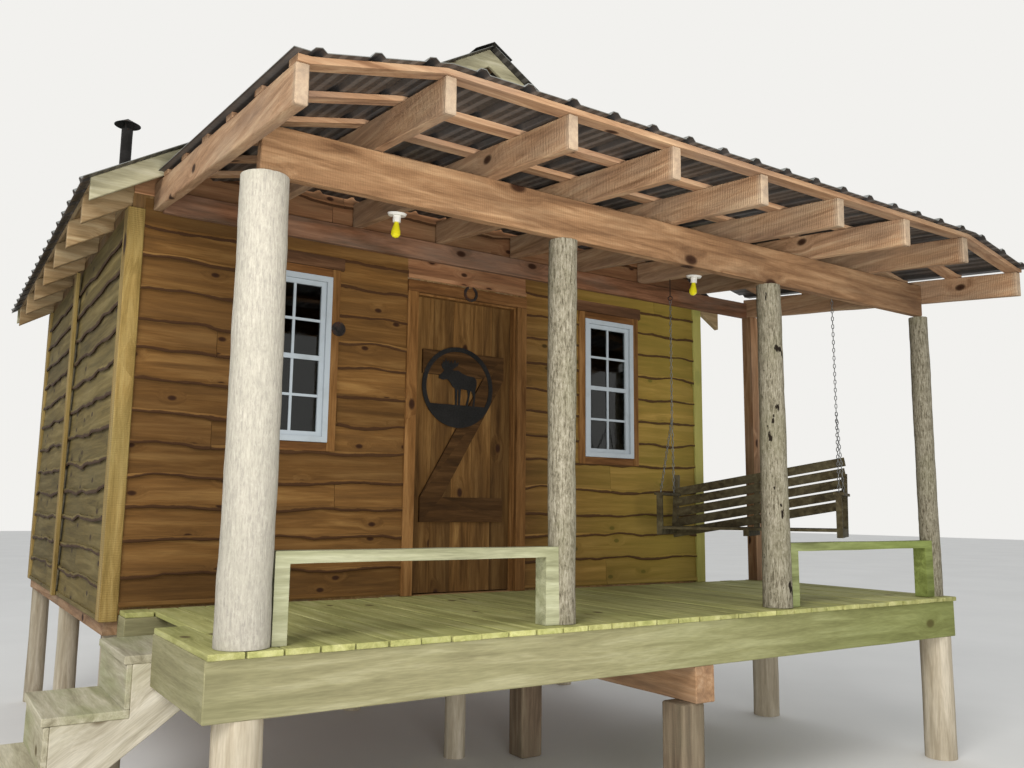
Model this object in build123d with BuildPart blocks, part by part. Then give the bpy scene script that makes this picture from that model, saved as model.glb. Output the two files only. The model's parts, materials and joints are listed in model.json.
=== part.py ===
from build123d import *

from math import atan, atan2, cos, degrees, hypot, radians, sin
import os

# Small gable-roofed cabin with a shed-roofed porch on log posts, standing on piers.
# Millimetres, +Z up, +Y from the porch towards the back of the cabin, +X to the right seen from the
# front. The origin is the centre of the foot of the pier under the left porch post.

os.makedirs("parts", exist_ok=True)

# Level of the deck and floor above the lowest ground
deck_height = 1060.0
deck_board_thickness = 28.0

# Porch in plan: the posts stand on one line at Y = 0, the first at X = 0
post_pitch = 1590.0
post_count = 4
porch_depth = 1600.0
deck_left_overhang = 167.0
deck_right_overhang = 85.0
deck_front_overhang = 125.0
deck_board_width = 152.0
deck_groove_width = 7.0
deck_groove_depth = 9.0
rim_thickness = 50.0
rim_depth = 235.0
rim_setback = 26.0
porch_joist_rows = 3
porch_joist_depth = 150.0
girder_width = 138.0
girder_depth = 190.0
girder_place = 2470.0
pier_radius = 105.0
square_pier_size = 165.0
back_pier_setback = 110.0
back_pier_inset = 430.0
girder_post_place = 2400.0

# Porch posts and roof frame
post_radii = ((118.0, 106.0), (68.0, 78.0), (88.0, 72.0), (68.0, 63.0))
post_bow = 8.0
rear_post_width = 95.0
beam_below_plate = 350.0
beam_thickness = 55.0
beam_depth = 220.0
beam_front_reach = 58.0
beam_end_reach = 40.0
beam_end_setback = 35.0
rafter_count = 9
rafter_thickness = 50.0
rafter_depth = 158.0
first_rafter_reach = 134.0
last_rafter_setback = 27.2
rafter_overhang = 720.0
porch_roof_slope = 0.11
end_bay_droop = 125.0
purlin_width = 92.0
purlin_thickness = 26.0
purlin_rows = 6
purlin_side_reach = 20.0
purlin_tip_reach = 12.0
ledger_thickness = 40.0

# Ribbed roofing
metal_thickness = 3.0
rib_height = 19.0
rib_top_width = 26.0
rib_base_width = 62.0
rib_spacing = 228.6
porch_metal_reach = 55.0
porch_metal_side_reach = 30.0

# Cabin shell
cabin_offset = 266.0
cabin_width = 4490.0
cabin_depth = 3520.0
stud_depth = 90.0
siding_thickness = 26.0
siding_drop = 60.0
course_height = 205.0
lap_step = 12.0
plate_height = 2300.0
header_depth = 300.0
floor_board_thickness = 28.0
sill_depth = 104.0
sill_width = 90.0
floor_joist_count = 6
floor_joist_thickness = 45.0
cabin_pier_radius = 72.0
cabin_pier_setback = 5.0
trim_width = 92.0

# Doorway and door
door_clear_width = 800.0
jamb_thickness = 30.0
door_gap = 6.0
door_floor_gap = 8.0
plank_thickness = 34.0
ledge_thickness = 22.0
ledge_height = 165.0
ledge_inset = 70.0
lower_ledge_height = 468.0
upper_ledge_drop = 370.0
door_stop_width = 12.0
plank_groove_width = 4.0
plank_groove_depth = 3.0
casing_width = 78.0
casing_thickness = 32.0
hinge_radius = 7.0
hinge_height = 90.0
hinge_leaf_thickness = 3.0
hinge_pin_radius = 3.0
hinge_play = 0.4

# Windows
window_width = 470.0
window_height = 1046.0
window_offset = 1251.0
window_casing_width = 55.0
window_frame_width = 34.0
window_frame_depth = 80.0
window_frame_proud = 6.0
sash_width = 30.0
sash_depth = 34.0
bar_width = 16.0
bar_depth = 9.0
bar_setback = 6.0
glass_thickness = 5.0

# Main roof
roof_pitch = 0.6
main_rafter_depth = 140.0
main_rafter_thickness = 45.0
main_rafter_count = 7
lath_thickness = 22.0
lath_width = 90.0
lath_rows = 5
lath_edge = 30.0
eave_overhang = 262.0
tail_setback = 30.0
rake_overhang = 214.0
rake_board_depth = 128.0
rake_board_thickness = 26.0
ridge_board_thickness = 30.0
ridge_cap_wing = 150.0
right_rake_reach = 1700.0
porch_metal_notch = 60.0
roof_gap = 5.0

# Stovepipe on the left slope
stovepipe_x = 24.0
stovepipe_bay = 3
stovepipe_radius = 42.0
stovepipe_wall = 3.0
stovepipe_height = 900.0
stovepipe_tail = 160.0
stovepipe_cap_radius = 98.0
stovepipe_cap_rise = 55.0
stovepipe_cap_gap = 35.0
strap_width = 12.0
flashing_radius = 110.0
flashing_rise = 75.0

# Steps
tread_going = 320.0
first_step_drop = 120.0
step_rise = 235.0
tread_count = 4
tread_thickness = 38.0
riser_thickness = 25.0
stringer_thickness = 38.0
stringer_throat = 150.0
tread_nosing = 12.0
stair_front = 780.0
notch_edge = 50.0
notch_back = 1450.0

# Low rails and fittings
rail_height = 375.0
rail_thickness = 50.0
rail_width = 92.0
rail_support_width = 80.0
rail_cope = 0.75
lamp_row = 1000.0
lamp_base_radius = 58.0
lamp_base_thickness = 14.0
lamp_neck_radius = 24.0
lamp_drop = 52.0
bulb_radius = 30.0
bulb_neck_radius = 13.0
bulb_length = 95.0
plaque_radius = 280.0
plaque_ring_width = 32.0
plaque_thickness = 4.0
plaque_drop = 614.0
plaque_shift = -49.0
plaque_ground_angle = 26.0
horseshoe_radius = 55.0
horseshoe_bar = 18.0
horseshoe_thickness = 8.0

# Porch swing
swing_axis_drop = 20.0
swing_left_reach = 1255.0
swing_right_reach = 265.0
swing_seat_height = 450.0
swing_length = 1240.0
swing_seat_depth = 450.0
swing_back_height = 380.0
swing_slat_thickness = 18.0
swing_slat_width = 60.0
swing_frame_size = 38.0
swing_arm_height = 230.0
swing_split_height = 1250.0
swing_back_lean = 80.0
swing_arm_width = 70.0
swing_balance = 88.0
chain_front_place = -180.0
chain_back_place = 190.0
chain_radius = 5.0
eye_radius = 16.0
eye_wire = 4.0
link_radius = 13.0
link_wire = 3.5
link_play = 0.6

# Sides that stand for a round: logs, turned fittings, the plate on the door, rings of wire
log_sides = 20
turned_sides = 24
plaque_sides = 48
ring_sides = 12
wire_sides = 8

# Levels and planes worked out from the sizes above
deck_top = deck_height
deck_underside = deck_top - deck_board_thickness
rim_bottom = deck_underside - rim_depth
deck_left = -deck_left_overhang
last_post = post_pitch * (post_count - 1)
deck_right = last_post + deck_right_overhang
deck_front = -deck_front_overhang
rim_front = deck_front + rim_setback
rim_back = rim_front + rim_thickness
wall_face = porch_depth
stud_face = wall_face + siding_thickness
inner_face = stud_face + stud_depth
cabin_left = -cabin_offset
cabin_right = cabin_left + cabin_width
cabin_mid = cabin_left + cabin_width / 2
cabin_back = wall_face + cabin_depth
stud_left = cabin_left + siding_thickness
stud_right = cabin_right - siding_thickness
stud_back = cabin_back - siding_thickness
inner_back = stud_back - stud_depth
inner_left = stud_left + stud_depth
inner_right = stud_right - stud_depth
floor_top = deck_top
plate_top = floor_top + plate_height
door_clear_height = plate_height - header_depth
beam_height = plate_height - beam_below_plate
sill_top = floor_top - floor_board_thickness
sill_bottom = sill_top - sill_depth
siding_bottom = floor_top - siding_drop
trim_return = trim_width - siding_thickness
up = Vector(0, 0, 1)


def board(x0, x1, y0, y1, z0, z1, mode=Mode.ADD):
    """Add a squared board between two corners to the part being built."""
    with Locations(((x0 + x1) / 2, (y0 + y1) / 2, (z0 + z1) / 2)):
        Box(x1 - x0, y1 - y0, z1 - z0, mode=mode)


def finish(piece, name):
    """Label a finished piece and write its file."""
    piece.part.label = name
    export_step(piece.part, f"parts/{name}.step")


def lap_points(height):
    """Points up the weather face of lapped boards of a given height, out from the wall."""
    points = []
    courses = max(1, round(height / course_height))
    course = height / courses
    for row in range(courses):
        points.append((siding_thickness, row * course))
        points.append((siding_thickness - lap_step, (row + 1) * course))
    return points


def lapped_boards(outward, foot, run, height):
    """Add lapped boards to a wall: foot is where their run starts, outward is the way they face."""
    facing = Vector(*outward)
    with BuildSketch(Plane(origin=foot, x_dir=facing, z_dir=facing.cross(up))) as section:
        with BuildLine():
            Polyline((0, 0), *lap_points(height), (0, height), close=True)
        make_face()
    extrude(section.sketch, amount=run)


# Cabin foundation: round peeled log piers under a ring of squared sills
sill_row_middle = (stud_face + stud_back) / 2
sill_span_x = stud_right - stud_left - sill_width
sill_span_y = stud_back - stud_face - sill_width
pier_inset = cabin_pier_radius + cabin_pier_setback
pier_span_x = stud_right - stud_left - 2 * pier_inset
pier_span_y = stud_back - stud_face - 2 * pier_inset
with BuildPart() as cabin_piers:
    with BuildSketch():
        with Locations((cabin_mid, sill_row_middle)):
            with GridLocations(pier_span_x / 2, pier_span_y / 2, 3, 3):
                RegularPolygon(cabin_pier_radius, log_sides)
    extrude(amount=sill_bottom)
finish(cabin_piers, "cabin_piers")

with BuildPart() as cabin_sills:
    with BuildSketch(Plane.XY.offset(sill_bottom)):
        with Locations((cabin_mid, sill_row_middle)):
            Rectangle(stud_right - stud_left, stud_back - stud_face)
            with GridLocations(1, (sill_span_y + sill_width) / 2 - sill_width / 2, 1, 2):
                Rectangle(sill_span_x - sill_width, sill_span_y / 2 - sill_width, mode=Mode.SUBTRACT)
    extrude(amount=sill_depth)
finish(cabin_sills, "cabin_sills")

joist_pitch = (sill_span_x - sill_width) / (floor_joist_count + 1)
with BuildPart() as floor_joists:
    with BuildSketch(Plane.XY.offset(sill_bottom)):
        with Locations((cabin_mid, sill_row_middle)):
            with GridLocations(joist_pitch, sill_span_y / 2, floor_joist_count, 2):
                Rectangle(floor_joist_thickness, sill_span_y / 2 - sill_width)
    extrude(amount=sill_depth)
finish(floor_joists, "floor_joists")

with BuildPart() as cabin_floor:
    board(stud_left, stud_right, stud_face, stud_back, sill_top, floor_top)
finish(cabin_floor, "cabin_floor")

# Front wall: a panel with a window each side of the doorway and one panel over it
door_half = door_clear_width / 2
rough_half = door_half + jamb_thickness
casing_half = door_half + casing_width
door_head = floor_top + door_clear_height
rough_head = door_head + jamb_thickness
window_top = door_head
window_middle = window_top - window_height / 2
window_places = [(cabin_mid + side * window_offset, window_middle) for side in (-1, 1)]
for side, name in ((-1, "front_wall_left"), (1, "front_wall_right")):
    outer_edge = stud_left if side < 0 else stud_right
    trim_edge = outer_edge - side * trim_return
    casing_edge = cabin_mid + side * casing_half
    jamb_edge = cabin_mid + side * rough_half
    with BuildPart() as front_panel:
        panel_x = (min(outer_edge, jamb_edge), max(outer_edge, jamb_edge))
        board(*panel_x, stud_face, inner_face, floor_top, plate_top)
        siding_end = (max(trim_edge, casing_edge), stud_face, floor_top)
        lapped_boards((0, -1, 0), siding_end, abs(trim_edge - casing_edge), plate_height)
        with BuildSketch(Plane.XZ.offset(-inner_face)):
            with Locations((cabin_mid + side * window_offset, window_middle)):
                Rectangle(window_width, window_height)
        extrude(amount=inner_face - wall_face, mode=Mode.SUBTRACT)
        with BuildSketch(Plane.XZ.offset(-stud_face)):
            with Locations((cabin_mid + side * window_offset, window_middle)):
                Rectangle(window_width + 2 * window_casing_width, window_height + 2 * window_casing_width)
        extrude(amount=siding_thickness, mode=Mode.SUBTRACT)
    finish(front_panel, name)

with BuildPart() as front_wall_over_door:
    board(cabin_mid - rough_half, cabin_mid + rough_half, stud_face, inner_face, rough_head, plate_top)
    over_casing = door_head + casing_width
    siding_end = (cabin_mid + casing_half, stud_face, over_casing)
    lapped_boards((0, -1, 0), siding_end, 2 * casing_half, plate_top - over_casing)
finish(front_wall_over_door, "front_wall_over_door")

# Roof geometry: the rafters' undersides meet the plates at the walls' inner edges
slope_angle = atan(roof_pitch)
plumb = 1 / cos(slope_angle)
ridge_half = ridge_board_thickness / 2
under_ridge = plate_top + roof_pitch * (cabin_mid - ridge_half - inner_left)
rafter_rise = main_rafter_depth * plumb
lath_rise = lath_thickness * plumb
roof_half = cabin_mid - cabin_left + eave_overhang
tail_half = roof_half - tail_setback
rake_front = wall_face - rake_overhang
rake_back = cabin_back + rake_overhang
roof_mid_y = (rake_front + rake_back) / 2


def underside(run):
    """Height of the rafters' undersides at a horizontal distance from the ridge line."""
    return plate_top + roof_pitch * (cabin_mid - inner_left - run)


eave_top = underside(cabin_mid - cabin_left)

# Back and side walls
with BuildPart() as back_wall:
    board(stud_left, stud_right, inner_back, stud_back, floor_top, plate_top)
    siding_run = stud_right - stud_left - 2 * trim_return
    siding_start = (stud_left + trim_return, stud_back, siding_bottom)
    lapped_boards((0, 1, 0), siding_start, siding_run, plate_top - siding_bottom)
finish(back_wall, "back_wall")

side_run = stud_back - stud_face - 2 * trim_width
with BuildPart() as left_wall:
    board(stud_left, inner_left, inner_face, inner_back, floor_top, plate_top)
    siding_start = (stud_left, stud_face + trim_width, siding_bottom)
    lapped_boards((-1, 0, 0), siding_start, side_run, eave_top - siding_bottom)
finish(left_wall, "left_wall")

with BuildPart() as right_wall:
    board(inner_right, stud_right, inner_face, inner_back, floor_top, plate_top)
    siding_start = (stud_right, stud_back - trim_width, siding_bottom)
    lapped_boards((1, 0, 0), siding_start, side_run, eave_top - siding_bottom)
finish(right_wall, "right_wall")

# Gables: framed triangles with lapped boards, cut to the roof
for face, name in ((-1, "front_gable"), (1, "back_gable")):
    frame_face = stud_face if face < 0 else inner_back
    weather_face = stud_face if face < 0 else stud_back
    with BuildPart() as gable:
        with BuildSketch(Plane.XZ.offset(-frame_face - stud_depth)):
            with BuildLine():
                Polyline(
                    (inner_left, plate_top),
                    (cabin_mid - ridge_half, under_ridge),
                    (cabin_mid + ridge_half, under_ridge),
                    (inner_right, plate_top),
                    close=True,
                )
            make_face()
        extrude(amount=stud_depth)
        gable_top = underside(0) + rafter_rise
        side_top = underside(cabin_mid - stud_left) + rafter_rise
        siding_foot = (stud_right if face < 0 else stud_left, weather_face, plate_top)
        lapped_boards((0, face, 0), siding_foot, stud_right - stud_left, gable_top - plate_top)
        with BuildSketch(Plane.XZ.offset(-weather_face - siding_thickness)):
            with BuildLine():
                Polyline(
                    (stud_left, side_top),
                    (cabin_mid, gable_top),
                    (stud_right, side_top),
                    (stud_right, gable_top + rafter_rise),
                    (stud_left, gable_top + rafter_rise),
                    close=True,
                )
            make_face()
        extrude(amount=2 * siding_thickness, mode=Mode.SUBTRACT)
    finish(gable, name)

# Corner boards, and a batten over the joint in each side wall's boards
batten_start = sill_row_middle - trim_width / 2
batten_top = eave_top - roof_pitch * siding_thickness
with BuildPart() as wall_trim:
    for side in (-1, 1):
        stud_edge = stud_left if side < 0 else stud_right
        outer = stud_edge + side * siding_thickness
        inner = stud_edge - side * trim_return
        trim_x = (min(outer, inner), max(outer, inner))
        return_x = (min(outer, stud_edge), max(outer, stud_edge))
        foot = siding_bottom if side < 0 else deck_top
        board(*trim_x, wall_face, stud_face, foot, eave_top)
        board(*return_x, stud_face, stud_face + trim_width, siding_bottom, eave_top)
        board(*trim_x, stud_back, cabin_back, siding_bottom, eave_top)
        board(*return_x, stud_back - trim_width, stud_back, siding_bottom, eave_top)
        batten_left = outer if side > 0 else outer - siding_thickness
        batten_x = (batten_left, batten_left + siding_thickness)
        board(*batten_x, batten_start, batten_start + trim_width, siding_bottom, batten_top)
finish(wall_trim, "wall_trim")

# Door frame with its stop, and the casing round it
planks_back = inner_face
planks_front = planks_back - plank_thickness
stop_back = planks_front - door_gap
with BuildPart() as door_frame:
    with BuildSketch(Plane.XZ.offset(-inner_face)):
        with Locations((cabin_mid, (floor_top + rough_head) / 2)):
            Rectangle(2 * rough_half, rough_head - floor_top)
        with Locations((cabin_mid, (floor_top + door_head) / 2)):
            Rectangle(2 * door_half, door_head - floor_top, mode=Mode.SUBTRACT)
    extrude(amount=inner_face - stud_face)
    for side in (-1, 1):
        edge = cabin_mid + side * door_half
        stop = edge - side * door_stop_width
        board(min(edge, stop), max(edge, stop), stud_face, stop_back, floor_top, door_head)
    stop_under = door_head - door_stop_width
    board(cabin_mid - door_half, cabin_mid + door_half, stud_face, stop_back, stop_under, door_head)
finish(door_frame, "door_frame")

with BuildPart() as casings:
    with BuildSketch(Plane.XZ.offset(-stud_face)):
        with Locations((cabin_mid, (floor_top + over_casing) / 2)):
            Rectangle(2 * casing_half, over_casing - floor_top)
        with Locations((cabin_mid, (floor_top + door_head) / 2)):
            Rectangle(2 * door_half, door_head - floor_top, mode=Mode.SUBTRACT)
        with Locations(*window_places):
            Rectangle(window_width + 2 * window_casing_width, window_height + 2 * window_casing_width)
            Rectangle(window_width, window_height, mode=Mode.SUBTRACT)
    extrude(amount=casing_thickness)
finish(casings, "casings")

# Windows: a deep frame round an upper and a lower sash, each glazed in four panes
frame_front = stud_face - casing_thickness - window_frame_proud
sash_opening = (window_width - 2 * window_frame_width, window_height - 2 * window_frame_width)
sash_front = frame_front + (window_frame_depth - sash_depth) / 2
daylight_width = window_width - 2 * window_frame_width - 2 * sash_width
daylight_height = (window_height - 2 * window_frame_width - 3 * sash_width) / 2
daylight_shift = (daylight_height + sash_width) / 2
with BuildPart() as window_frames:
    with BuildSketch(Plane.XZ.offset(-frame_front - window_frame_depth)):
        with Locations(*window_places):
            Rectangle(window_width, window_height)
            Rectangle(*sash_opening, mode=Mode.SUBTRACT)
    extrude(amount=window_frame_depth)
    with BuildSketch(Plane.XZ.offset(-sash_front - sash_depth)):
        for centre_x, centre_z in window_places:
            with Locations((centre_x, centre_z)):
                Rectangle(*sash_opening)
            with Locations((centre_x, centre_z - daylight_shift), (centre_x, centre_z + daylight_shift)):
                Rectangle(daylight_width, daylight_height, mode=Mode.SUBTRACT)
    extrude(amount=sash_depth)
    with BuildSketch(Plane.XZ.offset(-sash_front - bar_setback - bar_depth)):
        for centre_x, centre_z in window_places:
            with Locations((centre_x, centre_z - daylight_shift), (centre_x, centre_z + daylight_shift)):
                Rectangle(bar_width, daylight_height)
                Rectangle(daylight_width, bar_width)
    extrude(amount=bar_depth)
finish(window_frames, "window_frames")

with BuildPart() as window_glass:
    with BuildSketch(Plane.XZ.offset(-sash_front - bar_setback - bar_depth - glass_thickness)):
        for centre_x, centre_z in window_places:
            with Locations((centre_x, centre_z - daylight_shift), (centre_x, centre_z + daylight_shift)):
                Rectangle(daylight_width, daylight_height)
    extrude(amount=glass_thickness)
finish(window_glass, "window_glass")

# Plank door braced in a Z, hinged at its left edge and opening into the room
leaf_left = cabin_mid - door_half + door_gap
leaf_right = cabin_mid + door_half - door_gap
leaf_bottom = floor_top + door_floor_gap
leaf_top = door_head - door_gap
plank_count = round((leaf_right - leaf_left) / deck_board_width)
plank_pitch = (leaf_right - leaf_left) / plank_count
with BuildPart() as door_leaf:
    board(leaf_left, leaf_right, planks_front, planks_back, leaf_bottom, leaf_top)
    with Locations(((leaf_left + leaf_right) / 2, planks_front, (leaf_bottom + leaf_top) / 2)):
        with GridLocations(plank_pitch, 1, plank_count - 1, 1):
            Box(plank_groove_width, 2 * plank_groove_depth, leaf_top - leaf_bottom, mode=Mode.SUBTRACT)
finish(door_leaf, "door_leaf")

lower_ledge = floor_top + lower_ledge_height
upper_ledge = door_head - upper_ledge_drop - ledge_height
ledge_left = leaf_left + ledge_inset
ledge_right = leaf_right - ledge_inset
with BuildPart() as door_ledges:
    with BuildSketch(Plane.XZ.offset(-planks_front)):
        for level in (lower_ledge, upper_ledge):
            with Locations(((ledge_left + ledge_right) / 2, level + ledge_height / 2)):
                Rectangle(ledge_right - ledge_left, ledge_height)
        with BuildLine():
            Polyline(
                (ledge_left, lower_ledge + ledge_height),
                (ledge_left + ledge_height, lower_ledge + ledge_height),
                (ledge_right, upper_ledge),
                (ledge_right - ledge_height, upper_ledge),
                close=True,
            )
        make_face()
    extrude(amount=ledge_thickness)
finish(door_ledges, "door_ledges")

# Door hinges: a knuckle and leaf on the door turn on a pin held by two knuckles on the frame
pivot_x = cabin_mid - door_half
pivot_y = inner_face + hinge_radius + hinge_leaf_thickness
hinge_levels = (lower_ledge + ledge_height / 2, upper_ledge + ledge_height / 2)
knuckle_height = hinge_height / 3


def hinge_half(side, level, foot, top, bore):
    """Add one hinge's knuckle from foot to top about its level, with a leaf on one side of the pin."""
    leaf_middle = pivot_x + side * (door_gap + hinge_height / 2)
    web_middle = pivot_x + side * (door_gap + hinge_leaf_thickness / 2)
    with BuildSketch(Plane.XY.offset(level + foot)) as knuckle:
        with Locations((pivot_x, pivot_y)):
            Circle(hinge_radius)
        with Locations((web_middle, (inner_face + pivot_y) / 2)):
            Rectangle(hinge_leaf_thickness, pivot_y - inner_face)
        with Locations((pivot_x, pivot_y)):
            Circle(bore, mode=Mode.SUBTRACT)
    extrude(knuckle.sketch, amount=top - foot)
    board(
        leaf_middle - hinge_height / 2,
        leaf_middle + hinge_height / 2,
        inner_face,
        inner_face + hinge_leaf_thickness,
        level - hinge_height / 2,
        level + hinge_height / 2,
    )


with BuildPart() as door_hinges:
    for level in hinge_levels:
        half = knuckle_height / 2 - hinge_play
        hinge_half(1, level, -half, half, hinge_pin_radius + hinge_play)
finish(door_hinges, "door_hinges")

with BuildPart() as frame_hinges:
    for level in hinge_levels:
        hinge_half(-1, level, -hinge_height / 2, -knuckle_height / 2, hinge_pin_radius)
        hinge_half(-1, level, knuckle_height / 2, hinge_height / 2, hinge_pin_radius)
        with BuildSketch(Plane.XY.offset(level - hinge_height / 2)) as pin:
            with Locations((pivot_x, pivot_y)):
                Circle(hinge_pin_radius)
        extrude(pin.sketch, amount=hinge_height)
finish(frame_hinges, "frame_hinges")

# Main roof frame: ridge board, rafter pairs with plumb-cut tails and a seat cut on each plate
ridge_bottom = under_ridge
ridge_top = underside(ridge_half) + rafter_rise
with BuildPart() as ridge_board:
    board(cabin_mid - ridge_half, cabin_mid + ridge_half, stud_face, stud_back, ridge_bottom, ridge_top)
finish(ridge_board, "ridge_board")

rafter_pitch = (stud_back - stud_face - main_rafter_thickness) / (main_rafter_count - 1)
stud_run = cabin_mid - stud_left
inner_run = cabin_mid - inner_left
block_run = stud_run - main_rafter_thickness
with BuildPart() as main_rafters:
    for row in range(main_rafter_count):
        rafter_front = stud_face + row * rafter_pitch
        with BuildSketch(Plane.XZ.offset(-rafter_front - main_rafter_thickness)):
            for side in (-1, 1):
                with BuildLine():
                    Polyline(
                        (cabin_mid + side * ridge_half, underside(ridge_half)),
                        (cabin_mid + side * inner_run, plate_top),
                        (cabin_mid + side * stud_run, plate_top),
                        (cabin_mid + side * stud_run, underside(stud_run)),
                        (cabin_mid + side * tail_half, underside(tail_half)),
                        (cabin_mid + side * tail_half, underside(tail_half) + rafter_rise),
                        (cabin_mid + side * ridge_half, underside(ridge_half) + rafter_rise),
                        close=True,
                    )
                make_face()
        extrude(amount=main_rafter_thickness)
finish(main_rafters, "main_rafters")

# Blocks on the side walls' plates, closing the bays between the rafters
with BuildPart() as eave_blocks:
    for row in range(main_rafter_count - 1):
        block_front = stud_face + row * rafter_pitch + main_rafter_thickness
        block_back = stud_face + (row + 1) * rafter_pitch
        with BuildSketch(Plane.XZ.offset(-block_back)):
            for side in (-1, 1):
                with BuildLine():
                    Polyline(
                        (cabin_mid + side * stud_run, plate_top),
                        (cabin_mid + side * stud_run, underside(stud_run) + rafter_rise),
                        (cabin_mid + side * block_run, underside(block_run) + rafter_rise),
                        (cabin_mid + side * block_run, plate_top),
                        close=True,
                    )
                make_face()
        extrude(amount=block_back - block_front)
finish(eave_blocks, "eave_blocks")

# Roof laths along the building, carried out to the rakes, and the rake boards on their ends
roof_slope_run = tail_half * plumb
lath_first = lath_edge + lath_width / 2
lath_pitch = (roof_slope_run - 2 * lath_first) / (lath_rows - 1)
lath_front = rake_front + rake_board_thickness
lath_back = rake_back - rake_board_thickness
roof_slopes = {}
for side, name in ((-1, "left"), (1, "right")):
    down_slope = Vector(side * cos(slope_angle), 0, -sin(slope_angle))
    normal = Vector(side * sin(slope_angle), 0, cos(slope_angle))
    crown = (cabin_mid, roof_mid_y, underside(0) + rafter_rise)
    roof_slopes[name] = (side, down_slope, normal, crown)

right_notch = (
    cabin_mid + right_rake_reach,
    cabin_mid + 2 * roof_half,
    rake_front - rib_base_width - roof_gap,
    wall_face,
    plate_top - rafter_rise,
    underside(0) + rafter_rise,
)
with BuildPart() as roof_laths:
    for side, down_slope, normal, crown in roof_slopes.values():
        with BuildSketch(Plane(origin=crown, x_dir=down_slope, z_dir=normal)):
            for row in range(lath_rows):
                with Locations((lath_first + row * lath_pitch, 0)):
                    Rectangle(lath_width, lath_back - lath_front)
        extrude(amount=lath_thickness)
    board(*right_notch, mode=Mode.SUBTRACT)
finish(roof_laths, "roof_laths")


def metal_underside(run):
    """Height of the roofing's underside at a horizontal distance from the ridge line."""
    return underside(run) + rafter_rise + lath_rise


def rake_outline(side, reach):
    """Corners of a rake board hung under the roofing, from the ridge seam to its reach."""
    return (
        (cabin_mid, metal_underside(0)),
        (cabin_mid + side * reach, metal_underside(reach)),
        (cabin_mid + side * reach, metal_underside(reach) - rake_board_depth),
        (cabin_mid, metal_underside(0) - rake_board_depth),
    )


with BuildPart() as rake_boards:
    for face, right_reach in ((rake_front, right_rake_reach), (lath_back, tail_half)):
        with BuildSketch(Plane.XZ.offset(-face - rake_board_thickness)):
            for side, reach in ((-1, tail_half), (1, right_reach)):
                with BuildLine():
                    Polyline(*rake_outline(side, reach), close=True)
                make_face()
        extrude(amount=rake_board_thickness)
finish(rake_boards, "rake_boards")

rib_reaches = (-rib_base_width / 2, -rib_top_width / 2, rib_top_width / 2, rib_base_width / 2)


def ribbed_points(left, right, height_at, bends):
    """Outline of a ribbed sheet's section between two edges, on a line of known height with bends."""
    middle = (left + right) / 2
    ribs = int((right - left - rib_base_width) / rib_spacing) + 1
    rises = {left: 0, right: 0}
    for rib in range(ribs):
        centre = middle + (rib - (ribs - 1) / 2) * rib_spacing
        for reach in rib_reaches:
            rises[centre + reach] = rib_height if abs(reach) < rib_base_width / 2 else 0
    for bend in bends:
        before = max(place for place in rises if place <= bend)
        after = min(place for place in rises if place > bend)
        share = (bend - before) / (after - before)
        rises[bend] = rises[before] + share * (rises[after] - rises[before])
    places = sorted(rises)
    lower = [(place, height_at(place) + rises[place]) for place in places]
    upper = [(place, level + metal_thickness) for place, level in lower]
    return lower + upper[::-1]


# Ribbed roofing on both slopes, ribs down the slope, the pipe's hole cut through the left one
pipe_y = stud_face + (stovepipe_bay + 0.5) * rafter_pitch + main_rafter_thickness / 2
sheet_half = (rake_back - rake_front) / 2 + rib_base_width
for name, (side, down_slope, normal, crown) in roof_slopes.items():
    lath_crown = Vector(*crown) + normal * lath_thickness
    with BuildPart() as slope_metal:
        with BuildSketch(Plane(origin=lath_crown, x_dir=Vector(0, side, 0), z_dir=down_slope)):
            with BuildLine():
                Polyline(*ribbed_points(-sheet_half, sheet_half, lambda place: 0, ()), close=True)
            make_face()
        extrude(amount=roof_half * plumb)
        if side < 0:
            with Locations((stovepipe_x, pipe_y, metal_underside(cabin_mid - stovepipe_x))):
                Cylinder(stovepipe_radius + roof_gap, 4 * flashing_rise, mode=Mode.SUBTRACT)
        else:
            board(*right_notch, mode=Mode.SUBTRACT)
    finish(slope_metal, f"main_roof_{name}")

# Ridge cap folded over the ribs
cap_underside = metal_underside(0) + (rib_height + metal_thickness) * plumb
cap_fall = ridge_cap_wing * roof_pitch
with BuildPart() as ridge_cap:
    with BuildSketch(Plane.XZ.offset(-rake_back - rib_base_width)):
        with BuildLine():
            Polyline(
                (cabin_mid - ridge_cap_wing, cap_underside - cap_fall),
                (cabin_mid, cap_underside),
                (cabin_mid + ridge_cap_wing, cap_underside - cap_fall),
                (cabin_mid + ridge_cap_wing, cap_underside - cap_fall + metal_thickness * plumb),
                (cabin_mid, cap_underside + metal_thickness * plumb),
                (cabin_mid - ridge_cap_wing, cap_underside - cap_fall + metal_thickness * plumb),
                close=True,
            )
        make_face()
    extrude(amount=2 * sheet_half)
finish(ridge_cap, "ridge_cap")

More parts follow.
